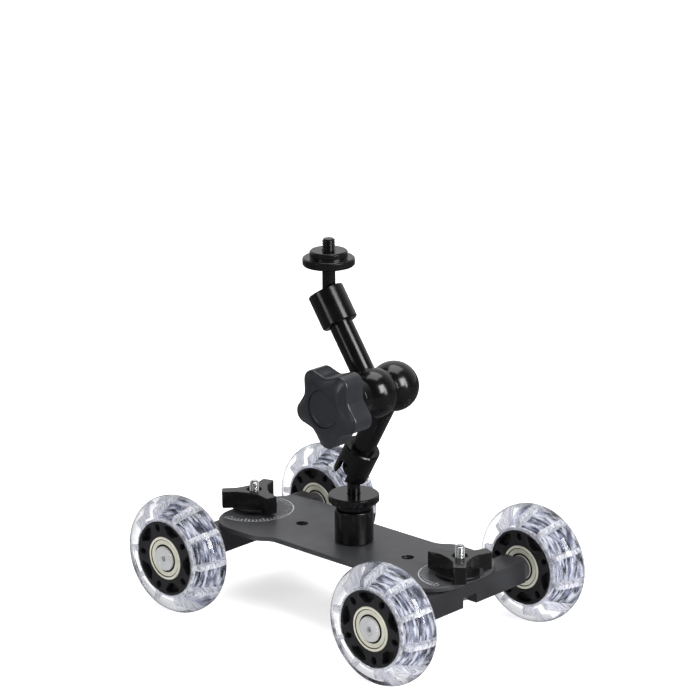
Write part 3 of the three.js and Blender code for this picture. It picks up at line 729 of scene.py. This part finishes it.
def axle_boss(inner_end):
    profile = [(BEARING_BORE, inner_end), (BOSS_RADIUS, inner_end), (BOSS_RADIUS, -HUB_HALF_WIDTH - 0.6)]
    profile += [(BOSS_RADIUS - 0.6, -HUB_HALF_WIDTH - TOUCH), (BEARING_BORE, -HUB_HALF_WIDTH - TOUCH)]
    return lathe(rounded(profile, 0.2, steps=2), MEDIUM)


def build_wheels():
    shapes = {"tyre": tyre(), "tyre_core": core(), "hub": hub(), "axle_screw": axle_screw()}
    shapes["axle_boss"] = axle_boss(-HALF_TRACK + BEAM_HALF_LENGTH + TOUCH)
    race = bearing()
    offset = HUB_HALF_WIDTH - BEARING_WIDTH / 2
    for name, phase in WHEEL_PHASES.items():
        centre = middle(f"{name}_tyre")
        side = math.copysign(1, centre.y)
        place = Matrix.Translation(centre) @ Matrix.Rotation(-side * math.pi / 2, 4, "X")
        spun = place @ turned(phase)
        show(f"{name}_tyre", shapes["tyre"], spun, "clear_polyurethane", "moulded_joint", rule=bond_rule)
        show(f"{name}_tyre_core", shapes["tyre_core"], spun, "clear_core", "core_window_painted_glints", rule=window_rule)
        show(f"{name}_hub", shapes["hub"], spun, "black_nylon")
        for layer, height in (("outer", offset), ("inner", -offset)):
            seated = spun @ Matrix.Translation((0, 0, height))
            show(f"{name}_{layer}_bearing", race, seated, "bearing_steel", "bearing_shield",
                 "groove_painted_shade", rule=shield_rule)
        show(f"{name}_axle_screw", shapes["axle_screw"], place, "zinc_plate")
        show(f"{name}_axle_boss", shapes["axle_boss"], place, "anodised_black")


# ---------- deck ----------
DECK_TOP = corners("deck_plate")[1].z
PIVOT_X = middle("front_pivot_bolt").x


def deck_outline():
    """One quarter as an S curve, a straight side and a round corner, then mirrored."""
    waist = DECK_WAIST_HALF_WIDTH
    wide = DECK_END_HALF_WIDTH
    half_way = (DECK_WAIST_X + DECK_SHOULDER_X) / 2
    controls = [Vector((DECK_WAIST_X, waist)), Vector((half_way, waist))]
    controls += [Vector((half_way, wide)), Vector((DECK_SHOULDER_X, wide))]
    quarter = []
    steps = 16
    for i in range(steps + 1):
        t = i / steps
        weights = [(1 - t) ** 3, 3 * t * (1 - t) ** 2, 3 * t * t * (1 - t), t ** 3]
        quarter.append(sum((c * w for c, w in zip(controls, weights)), Vector((0, 0))))
    corner = Vector((DECK_HALF_LENGTH - DECK_CORNER_RADIUS, wide - DECK_CORNER_RADIUS))
    quarter += [corner + polar(DECK_CORNER_RADIUS, 90 - 90 * i / 24) for i in range(25)]
    outline = []
    for sign_x, sign_y in ((1, 1), (1, -1), (-1, -1), (-1, 1)):
        part = [Vector((p.x * sign_x, p.y * sign_y)) for p in quarter]
        outline += part if sign_x * sign_y > 0 else part[::-1]
    return anticlockwise(outline)


def scale_cutters(side):
    """An arc and its ticks, engraved round a pivot on the side that faces the deck's middle."""
    low = DECK_TOP - SCALE_DEPTH
    high = DECK_TOP + CUT
    angles = steps_between(-SCALE_SWEEP, SCALE_SWEEP, SCALE_STEP)
    fine_angles = steps_between(-SCALE_SWEEP, SCALE_SWEEP, 2)
    arc = [polar(SCALE_RADIUS + SCALE_LINE / 2, a) for a in fine_angles]
    arc += [polar(SCALE_RADIUS - SCALE_LINE / 2, a) for a in reversed(fine_angles)]
    parts = [prism(arc, low, high)]
    outer = SCALE_RADIUS - SCALE_LINE / 2 - 0.15
    for index, angle in enumerate(angles):
        length = LONG_TICK if (index - len(angles) // 2) % 5 == 0 else SHORT_TICK
        tick = block(length, SCALE_LINE, high - low, (outer - length / 2, 0, (low + high) / 2))
        parts.append(moved(tick, turned(angle)))
    inwards = turned(180 if side > 0 else 0)
    return moved(gathered(parts), Matrix.Translation((side * PIVOT_X, 0, 0)) @ inwards)


def tapped_hole(low, high):
    """A cutter for the quarter-inch thread."""
    root = ACCESSORY_HOLE_RADIUS + ACCESSORY_THREAD_DEPTH
    profile = [(0, low - CUT), (root, low - CUT), (root, low)]
    profile += [(root, z) for z in steps_between(low + 0.15, high - 0.15, 0.15)]
    profile += [(root, high), (root, high + CUT), (0, high + CUT)]
    winding = thread(QUARTER_INCH_PITCH, ACCESSORY_THREAD_DEPTH, low + 0.1, high - 0.1)
    return lathe(profile, SMALL, winding)


def build_deck():
    low = DECK_TOP - DECK_THICKNESS
    plate = slab(deck_outline(), low, DECK_TOP, 0.4)
    for side in (-1, 1):
        plate = cut(plate, scale_cutters(side))
    tools = [bore(POST_SCREW_RADIUS + 0.3, low, DECK_TOP)]
    for side in (-1, 1):
        hole = tapped_hole(low, DECK_TOP)
        tools.append(moved(hole, Matrix.Translation((side * ACCESSORY_HOLE_X, 0, 0))))
        pivot = bore(PIVOT_RADIUS + 0.3, low, DECK_TOP)
        tools.append(moved(pivot, Matrix.Translation((side * PIVOT_X, 0, 0))))
    show("deck_plate", cut(plate, *tools), Matrix.Identity(4), "anodised_black", "scale_paint", "painted_hole_shade",
         rule=deck_rule)


def deck_rule(face):
    """0 for the plate, 1 for the engraved lines, 2 for the walls inside the tapped holes, painted near black
    as shade.
    """
    depth = DECK_TOP - face.center.z
    reach = math.hypot(abs(face.center.x) - ACCESSORY_HOLE_X, face.center.y)
    if reach < HOLE_WALL_REACH and abs(face.normal.z) < 0.95:
        return 2
    return 1 if abs(depth - SCALE_DEPTH) < 0.01 and face.normal.z > 0.9 else 0


# ---------- axle beams, pivot bolts and lock knobs ----------
def beam(low, high):
    body = block(BEAM_WIDTH, 2 * BEAM_HALF_LENGTH, high - low, (0, 0, (low + high) / 2))
    notch = block(BEAM_WIDTH + 2 * CUT, NOTCH_WIDTH, 2 * NOTCH_DEPTH, (0, 0, low))
    pivot = rod(PIVOT_RADIUS + 0.3, low, high + CUT)
    tools = [notch, pivot]
    for side in (-1, 1):
        hole = rod(AXLE_RADIUS + 0.3, BEAM_HALF_LENGTH - AXLE_HOLE_DEPTH, BEAM_HALF_LENGTH + CUT)
        lying = Matrix.Translation((0, 0, WHEEL_RADIUS)) @ Matrix.Rotation(-side * math.pi / 2, 4, "X")
        tools.append(moved(hole, lying))
    return eased(cut(body, *tools), 0.45, 3)


def pivot_bolt(low, high):
    seat = low + PIVOT_HEAD_HEIGHT
    thread_low = high - PIVOT_THREAD
    profile = [(0, seat - CUT), (PIVOT_RADIUS, seat - CUT)]
    profile += [(PIVOT_RADIUS, z) for z in steps_between(thread_low, high - 0.7, PIVOT_PITCH / 10)]
    profile += [(PIVOT_RADIUS - 0.7, high), (0, high)]
    shank = lathe(profile, SMALL, thread(PIVOT_PITCH, PIVOT_THREAD_DEPTH, thread_low, high + CUT))
    return join(slab(circle(PIVOT_HEAD_RADIUS, 6), low, seat, 0.3), shank)


def lock_knob_outline():
    reach = LOCK_ARM_REACH
    half = LOCK_ARM_HALF_WIDTH
    points = []
    for turn in (0, 120, 240):
        for x, y in ((LOCK_ARM_STRAIGHT, -half), (reach, -half), (reach, half), (LOCK_ARM_STRAIGHT, half)):
            points.append(Vector((x, y, 0)).to_2d() @ Matrix.Rotation(-math.radians(turn), 2))
        for step in (42, 60, 78):
            dip = LOCK_VALLEY_RADIUS + (0 if step == 60 else 0.5)
            points.append(polar(dip, turn + step))
    return anticlockwise(rounded(points, 1.3, steps=5))


def lock_knob():
    top = LOCK_KNOB_HEIGHT
    arms = slab(lock_knob_outline(), 0.3, top, 0.35)
    skirt = [(0, 0), (LOCK_SKIRT_RADIUS, 0), (LOCK_SKIRT_RADIUS, LOCK_SKIRT_HEIGHT), (0, LOCK_SKIRT_HEIGHT)]
    body = join(arms, lathe(rounded(skirt, 0.3, closed=False)))
    shaft = rod(PIVOT_RADIUS + 0.3, -CUT, top + CUT)
    recess = flared(circle(LOCK_RECESS_RADIUS, SMALL), top - 1, top, 0.25)
    nut_seat = prism(circle(LOCK_NUT_RADIUS, 6), -CUT, LOCK_NUT_DEPTH)
    return cut(body, shaft, recess, nut_seat)


def build_axles():
    knob = lock_knob()
    for end, turn in LOCK_KNOB_TURNS.items():
        low, high = corners(f"{end}_pivot_bolt")
        pivot = middle(f"{end}_pivot_bolt")
        beam_low, beam_high = corners(f"{end}_axle_beam")
        stand = Matrix.Translation((pivot.x, 0, 0))
        # The beams take the darker copy of the deck's finish, whose darkening is painted shade.
        show(f"{end}_axle_beam", beam(beam_low.z, beam_high.z), stand, "anodised_black_painted_shade")
        show(f"{end}_pivot_bolt", pivot_bolt(low.z, high.z), stand, "bright_zinc")
        knob_low = corners(f"{end}_lock_knob")[0].z
        seat = Matrix.Translation((pivot.x, 0, knob_low)) @ turned(turn)
        show(f"{end}_lock_knob", knob, seat, "black_nylon_polished")


# ---------- riser post ----------
def build_post():
    low, high = corners("riser_post")
    profile = [(POST_BORE, low.z), (POST_RADIUS, low.z), (POST_RADIUS, high.z), (POST_BORE, high.z)]
    show("riser_post", lathe(rounded(profile, 0.6)), Matrix.Identity(4), "gloss_black_metal")
    low, high = corners("post_screw")
    head = POST_SCREW_HEAD_RADIUS
    seat = low.z + POST_SCREW_HEAD_HEIGHT
    profile = [(0, low.z), (head - 1.2, low.z), (head, low.z + 1.6), (head, seat), (POST_SCREW_RADIUS, seat)]
    profile += [(POST_SCREW_RADIUS, high.z - 0.5), (POST_SCREW_RADIUS - 0.5, high.z), (0, high.z)]
    screw = lathe(rounded(profile, 0.25, steps=3, closed=False), MEDIUM)
    socket = prism(circle(POST_SOCKET_RADIUS, 6), low.z - CUT, low.z + POST_SOCKET_DEPTH)
    show("post_screw", cut(screw, socket), Matrix.Identity(4), "zinc_plate")


# ---------- friction arm ----------
LOWER_BALL = middle("lower_ball_stud")
LOWER_BALL.z = corners("lower_ball_stud")[1].z - BALL_RADIUS
UPPER_BALL = middle("upper_ball_stud")
UPPER_BALL.z = corners("upper_ball_stud")[0].z + BALL_RADIUS
HINGE = middle("clamp_collar")
LOWER_HINGE = Vector((HINGE.x, LOWER_BALL.y, HINGE.z))
UPPER_HINGE = Vector((HINGE.x, UPPER_BALL.y, HINGE.z))
HINGE_OFFSET = LOWER_HINGE.y - UPPER_HINGE.y


def arm_axes(hinge, ball, mating):
    """An arm's axes: the hinge ball at the origin, the socket along +Z, the mating face towards +Y."""
    z = (ball - hinge).normalized()
    y = Vector((0, mating, 0))
    return axes(hinge, y.cross(z), y, z)


def ball_stud():
    """Drawn with the ball at the origin and the threaded stud running along -Z."""
    tip = -STUD_LENGTH
    profile = [(0, tip), (STUD_RADIUS - 0.7, tip)]
    heights = steps_between(tip + 0.7, tip + STUD_THREAD, QUARTER_INCH_PITCH / 10)
    profile += [(STUD_RADIUS, z) for z in heights]
    neck = math.asin(STUD_RADIUS / BALL_RADIUS)
    profile.append((STUD_RADIUS, -BALL_RADIUS * math.cos(neck) - 0.5))
    steps = 30
    for i in range(steps + 1):
        angle = neck + (math.pi - neck) * i / steps
        profile.append((BALL_RADIUS * math.sin(angle) if i < steps else 0, -BALL_RADIUS * math.cos(angle)))
    return lathe(profile, SMALL, thread(QUARTER_INCH_PITCH, STUD_THREAD_DEPTH, tip, tip + STUD_THREAD))


def lock_disc(seat_distance):
    seat = -seat_distance
    flange = seat + DISC_HEIGHT
    step = flange - DISC_FLANGE_HEIGHT
    gap = STUD_RADIUS + 0.1
    hub_radius = DISC_HUB_RADIUS
    rim = DISC_FLANGE_RADIUS
    profile = [(gap, seat), (hub_radius - 0.7, seat), (hub_radius, seat + 0.7), (hub_radius, step)]
    profile += [(rim - 0.6, step), (rim, step + 0.6), (rim, flange - 0.6)]
    profile += [(rim - 0.6, flange), (gap + 0.4, flange)]
    profile.append((gap, flange - 0.4))
    return lathe(rounded(profile, 0.25, steps=3))


def socket(length):
    rim = length + SOCKET_RIM
    foot = rim - SOCKET_LENGTH
    floor = length - SOCKET_FLOOR
    gap = TUBE_RADIUS + 0.12
    profile = [(gap, foot), (SOCKET_RADIUS - 0.8, foot), (SOCKET_RADIUS, foot + 0.8)]
    profile += [(SOCKET_RADIUS, rim - 0.5), (SOCKET_RADIUS - 0.5, rim), (SOCKET_MOUTH, rim)]
    profile += [(SOCKET_BORE, rim - SOCKET_TAPER), (SOCKET_BORE, floor), (gap, floor)]
    slot_floor = rim - SLOT_DEPTH + SLOT_WIDTH / 2
    reach = SOCKET_RADIUS + CUT
    slot = block(SLOT_WIDTH, reach, SLOT_DEPTH, (0, reach / 2, slot_floor + SLOT_DEPTH / 2))
    lying = Matrix.Translation((0, 0, slot_floor)) @ Matrix.Rotation(-math.pi / 2, 4, "X")
    round_end = moved(rod(SLOT_WIDTH / 2, 0, reach), lying)
    body = cut(lathe(rounded(profile, 0.2, steps=2)), join(slot, round_end))
    return eased(body, 0.22)


def arm_tube(length, boss):
    """A hinge ball that runs into a tube, cut flat where the two arms meet."""
    tube_end = length - SOCKET_FLOOR - 0.3
    meet = math.acos((TUBE_RADIUS + NECK_FILLET * 0.7) / HINGE_BALL_RADIUS)
    steps = 48
    profile = []
    for i in range(steps + 1):
        angle = -math.pi / 2 + (math.pi / 2 + meet) * i / steps
        radius = HINGE_BALL_RADIUS * math.cos(angle) if i else 0
        profile.append(Vector((radius, HINGE_BALL_RADIUS * math.sin(angle))))
    shoulder = profile[-1].y + NECK_FILLET
    neck = [profile[-1], (TUBE_RADIUS, profile[-1].y + 0.3), (TUBE_RADIUS, shoulder)]
    neck = rounded(neck, 1.2, closed=False)
    profile += neck[1:]
    profile += [Vector((TUBE_RADIUS, tube_end - 0.4)), Vector((TUBE_RADIUS - 0.4, tube_end))]
    profile.append(Vector((0, tube_end)))
    body = lathe(profile)
    if boss:
        rim = [(0, 0), (HINGE_BOSS_RADIUS, 0), (HINGE_BOSS_RADIUS, HINGE_BOSS_END), (0, HINGE_BOSS_END)]
        body = join(body, moved(lathe(rounded(rim, 0.5, closed=False)), Matrix.Rotation(math.pi / 2, 4, "X")))
    wide = 2 * HINGE_BALL_RADIUS + CUT
    mating = HINGE_OFFSET / 2 - TOUCH
    tools = [block(wide, HINGE_BALL_RADIUS, wide, (0, mating + HINGE_BALL_RADIUS / 2, 0))]
    across = Matrix.Rotation(-math.pi / 2, 4, "X")
    tools.append(moved(rod(HINGE_BORE, -wide, wide), across))
    tools.append(rod(TUBE_BORE, 0, length))
    if not boss:
        head = rod(CENTRE_HEAD_RADIUS + 0.3, CENTRE_HEAD_SEAT, wide)
        tools.append(moved(head, Matrix.Rotation(math.pi / 2, 4, "X")))
    return eased(cut(body, *tools), 0.25)


def centre_bolt(end):
    """Drawn about Z with +Z facing the star knob and z = 0 at the far hinge ball's centre."""
    seat = -CENTRE_HEAD_SEAT - 0.1
    top = seat - CENTRE_HEAD_HEIGHT
    head = CENTRE_HEAD_RADIUS
    profile = [(0, top), (head - 0.5, top), (head, top + 0.5), (head, seat), (CENTRE_BOLT_RADIUS, seat)]
    profile += [(CENTRE_BOLT_RADIUS, end - 0.4), (CENTRE_BOLT_RADIUS - 0.4, end), (0, end)]
    body = lathe(rounded(profile, 0.2, steps=2, closed=False), MEDIUM)
    return cut(body, prism(circle(CENTRE_SOCKET_RADIUS, 6), top - CUT, seat - 1.5))


def collar(low, high):
    inner = CENTRE_BOLT_RADIUS + 0.3
    profile = [(inner, low), (COLLAR_RADIUS - 0.5, low), (COLLAR_RADIUS, low + 0.5)]
    profile += [(COLLAR_RADIUS, high - 0.5), (COLLAR_RADIUS - 0.5, high), (inner, high)]
    return lathe(rounded(profile, 0.2, steps=2))


def star_outline():
    """Round lobes joined by hollow curves."""
    centre = STAR_RADIUS - STAR_LOBE_RADIUS
    pitch = 360 / STAR_LOBES
    points = []
    for lobe in range(STAR_LOBES):
        direction = lobe * pitch
        for step in range(-6, 7):
            points.append(polar(centre, direction) + polar(STAR_LOBE_RADIUS, direction + step * 10))
        for share in (0.37, 0.5, 0.63):
            dip = STAR_VALLEY_RADIUS + (0 if share == 0.5 else 0.8)
            points.append(polar(dip, direction + pitch * share))
    return anticlockwise(rounded(points, 4, steps=6))


def star_knob(back, face):
    """A flat back, upright sides, a rounded shoulder and a shallow dome up to the cap's recess."""
    outline = star_outline()
    rings = [at_height(inset(outline, 0.7), back), at_height(inset(outline, 0.2), back + 0.2)]
    rings.append(at_height(outline, back + 0.7))
    shoulder = face - STAR_SHOULDER_DEPTH
    rings.append(at_height(outline, shoulder))
    rim = STAR_CAP_RADIUS + 1
    roll = STAR_ROLL
    for step in range(1, 7):
        angle = math.pi / 2 * step / 6
        eased_in = inset(outline, roll * (1 - math.cos(angle)))
        rings.append(at_height(eased_in, shoulder + roll * math.sin(angle)))
    last = inset(outline, roll)
    for step in range(1, 13):
        t = step / 12
        height = shoulder + roll + (face - shoulder - roll) * math.sin(t * math.pi / 2)
        ring = [point.lerp(point.normalized() * rim, t) for point in last]
        rings.append(at_height(ring, height))
    cap_seat = face - STAR_CAP_RECESS - STAR_CAP_THICKNESS - 0.1
    cap_pocket = flared(circle(STAR_CAP_RADIUS + 0.15, FINE), cap_seat, face, 0.3)
    shaft = rod(CENTRE_BOLT_RADIUS + 0.3, back - CUT, cap_seat + CUT)
    nut = rod(STAR_NUT_RADIUS + 0.3, back - CUT, back + STAR_NUT_LENGTH + 0.3)
    return cut(loft(rings), cap_pocket, shaft, nut)


def star_cap(low, high):
    radius = STAR_CAP_RADIUS
    profile = [(0, low), (radius, low), (radius, high), (radius - 1.2, high), (radius - 1.6, high - 0.25)]
    profile += [(0, high - 0.25)]
    return lathe(rounded(profile, 0.3, steps=3, closed=False))


def build_arm():
    lower_length = (LOWER_BALL - LOWER_HINGE).length
    upper_length = (UPPER_BALL - UPPER_HINGE).length
    lower = arm_axes(LOWER_HINGE, LOWER_BALL, -1)
    upper = arm_axes(UPPER_HINGE, UPPER_BALL, 1)
    show("lower_socket", socket(lower_length), lower, "gloss_black_metal")
    show("upper_socket", socket(upper_length), upper, "gloss_black_metal")
    show("lower_arm_tube", arm_tube(lower_length, False), lower, "gloss_black_metal")
    show("upper_arm_tube", arm_tube(upper_length, True), upper, "gloss_black_metal")
    stud = ball_stud()
    upright = Matrix.Translation(LOWER_BALL)
    inverted = Matrix.Translation(UPPER_BALL) @ Matrix.Rotation(math.pi, 4, "X")
    show("lower_ball_stud", stud, upright, "gloss_black_metal")
    show("upper_ball_stud", stud, inverted, "gloss_black_metal")
    lower_seat = LOWER_BALL.z - corners("lower_lock_disc")[0].z
    upper_seat = corners("upper_lock_disc")[1].z - UPPER_BALL.z
    show("lower_lock_disc", lock_disc(lower_seat), upright, "gloss_black_metal")
    show("upper_lock_disc", lock_disc(upper_seat), inverted, "gloss_black_metal")


def build_centre_joint():
    place = Matrix.Translation(LOWER_HINGE) @ Matrix.Rotation(math.pi / 2, 4, "X")
    spun = place @ turned(STAR_TURN)
    bolt_end = -corners("centre_bolt")[0].y
    show("centre_bolt", centre_bolt(bolt_end), place, "zinc_plate")
    low, high = corners("clamp_collar")
    show("clamp_collar", collar(-high.y, -low.y), place, "gloss_black_metal")
    low, high = corners("star_knob")
    show("star_knob", star_knob(-high.y, -low.y), spun, "knob_plastic", smooth=30)
    low, high = corners("star_knob_cap")
    show("star_knob_cap", star_cap(-high.y, -low.y), spun, "knob_plastic")


def finish_hidden_nodes():
    """Inner pieces keep their CAD shape and take a fine material."""
    inner = {"star_knob_nut": "brass"}
    inner.update({f"{end}_lock_knob_nut": "zinc_plate" for end in LOCK_KNOB_TURNS})
    inner.update({f"{name}_bearing_spacer": "bearing_steel" for name in WHEEL_PHASES})
    inner.update({f"{arm}_push_rod": "zinc_plate" for arm in ("lower", "upper")})
    for node, name in inner.items():
        mesh = frame["nodes"][node].data
        mesh.materials.clear()
        mesh.materials.append(LOOKS[name])


# ---------- studio ----------
def build_floor():
    """A white floor. Glossy surfaces see it darker, as they do where a product stands on a small sheet."""
    bm = bmesh.new()
    bmesh.ops.create_grid(bm, x_segments=8, y_segments=8, size=8)
    material = bpy.data.materials.new("floor_white")
    add, link = nodes_of(material)
    coordinates = add("ShaderNodeTexCoord").outputs["Object"]
    patches = noise_of(add, link, coordinates, 60)
    white = add("ShaderNodeBsdfDiffuse")
    tint = add("ShaderNodeMix", {"A": (0.89, 0.89, 0.89, 1), "B": (0.92, 0.92, 0.92, 1)}, data_type="RGBA")
    link(ranged(add, link, patches, 0, 1), tint.inputs["Factor"])
    link(tint.outputs["Result"], white.inputs["Color"])
    glow = add("ShaderNodeEmission", {"Strength": FLOOR_GLOW})
    lit = add("ShaderNodeAddShader")
    link(white.outputs["BSDF"], lit.inputs[0])
    link(glow.outputs["Emission"], lit.inputs[1])
    dim = add("ShaderNodeBsdfDiffuse", {"Color": (*(FLOOR_IN_REFLECTIONS,) * 3, 1)})
    path = add("ShaderNodeLightPath")
    straight = add("ShaderNodeMath", {0: 1.0}, operation="SUBTRACT")
    link(path.outputs["Is Transmission Ray"], straight.inputs[1])
    mirrored = add("ShaderNodeMath", operation="MULTIPLY")
    link(path.outputs["Is Glossy Ray"], mirrored.inputs[0])
    link(straight.outputs["Value"], mirrored.inputs[1])
    final = add("ShaderNodeMixShader")
    link(mirrored.outputs["Value"], final.inputs["Fac"])
    link(lit.outputs["Shader"], final.inputs[1])
    link(dim.outputs["BSDF"], final.inputs[2])
    output = add("ShaderNodeOutputMaterial")
    link(final.outputs["Shader"], output.inputs["Surface"])
    floor = linked("floor", mesh_from(bm))
    floor.data.materials.append(material)


def build_world():
    """White, both straight and through the tyres. Reflections see a bright backdrop and a dark room."""
    world = bpy.data.worlds.new("studio")
    bpy.context.scene.world = world
    add, link = nodes_of(world)
    facing = add("ShaderNodeVectorMath", {1: -view_direction(CAMERA_AZIMUTH, 0)}, operation="DOT_PRODUCT")
    link(add("ShaderNodeTexCoord").outputs["Generated"], facing.inputs[0])
    values = {"From Min": 0.0, "From Max": 0.8, "To Min": ROOM, "To Max": BACKDROP}
    backdrop = add("ShaderNodeMapRange", values)
    link(facing.outputs["Value"], backdrop.inputs["Value"])
    path = add("ShaderNodeLightPath")
    level = add("ShaderNodeMix", {"A": AMBIENT}, data_type="FLOAT")
    link(path.outputs["Is Glossy Ray"], level.inputs["Factor"])
    link(backdrop.outputs["Result"], level.inputs["B"])
    for ray in ("Is Transmission Ray", "Is Camera Ray"):
        white = add("ShaderNodeMix", {"B": 1.0}, data_type="FLOAT")
        link(path.outputs[ray], white.inputs["Factor"])
        link(level.outputs["Result"], white.inputs["A"])
        level = white
    background = add("ShaderNodeBackground", {"Color": (1, 1, 1, 1)})
    link(level.outputs["Result"], background.inputs["Strength"])
    output = add("ShaderNodeOutputWorld")
    link(background.outputs["Background"], output.inputs["Surface"])


def soft_light(name, azimuth, elevation, distance, width, height, watts):
    """An area light that faces the part. Azimuth is measured like the camera's, distance in metres."""
    data = bpy.data.lights.new(name, "AREA")
    data.shape = "RECTANGLE"
    data.size = width
    data.size_y = height
    data.energy = watts
    light = linked(name, data)
    back = view_direction(azimuth, elevation)
    light.location = Vector((0, 0, 0.09)) + back * distance
    light.rotation_euler = back.to_track_quat("Z", "Y").to_euler()


def view_direction(azimuth, elevation):
    a = math.radians(azimuth)
    e = math.radians(elevation)
    return Vector((math.sin(a) * math.cos(e), -math.cos(a) * math.cos(e), math.sin(e)))


def build_camera():
    back = view_direction(CAMERA_AZIMUTH, CAMERA_ELEVATION)
    level = Vector((math.cos(math.radians(CAMERA_AZIMUTH)), math.sin(math.radians(CAMERA_AZIMUTH)), 0))
    tilt = Matrix.Rotation(math.radians(CAMERA_ROLL), 3, back)
    right = tilt @ level
    up = back.cross(right)
    data = bpy.data.cameras.new("camera")
    data.sensor_width = 36
    data.lens = CAMERA_LENS
    camera = linked("camera", data)
    spot = CAMERA_AIM + back * CAMERA_DISTANCE + right * CAMERA_SHIFT[0] + up * CAMERA_SHIFT[1]
    camera.matrix_world = axes(spot * METRES, right, up, back)
    bpy.context.scene.camera = camera


build_wheels()
build_deck()
build_axles()
build_post()
build_arm()
build_centre_joint()
finish_hidden_nodes()
build_floor()
build_world()
soft_light("key", azimuth=88, elevation=30, distance=1.5, width=0.45, height=0.8, watts=15)
soft_light("left", azimuth=-8, elevation=20, distance=1.4, width=0.3, height=1.0, watts=2.5)
soft_light("right", azimuth=103, elevation=24, distance=1.4, width=0.12, height=1.0, watts=6)
soft_light("top", azimuth=200, elevation=78, distance=1.6, width=1.2, height=1.2, watts=14)
build_camera()
bpy.context.scene.view_settings.view_transform = "Standard"
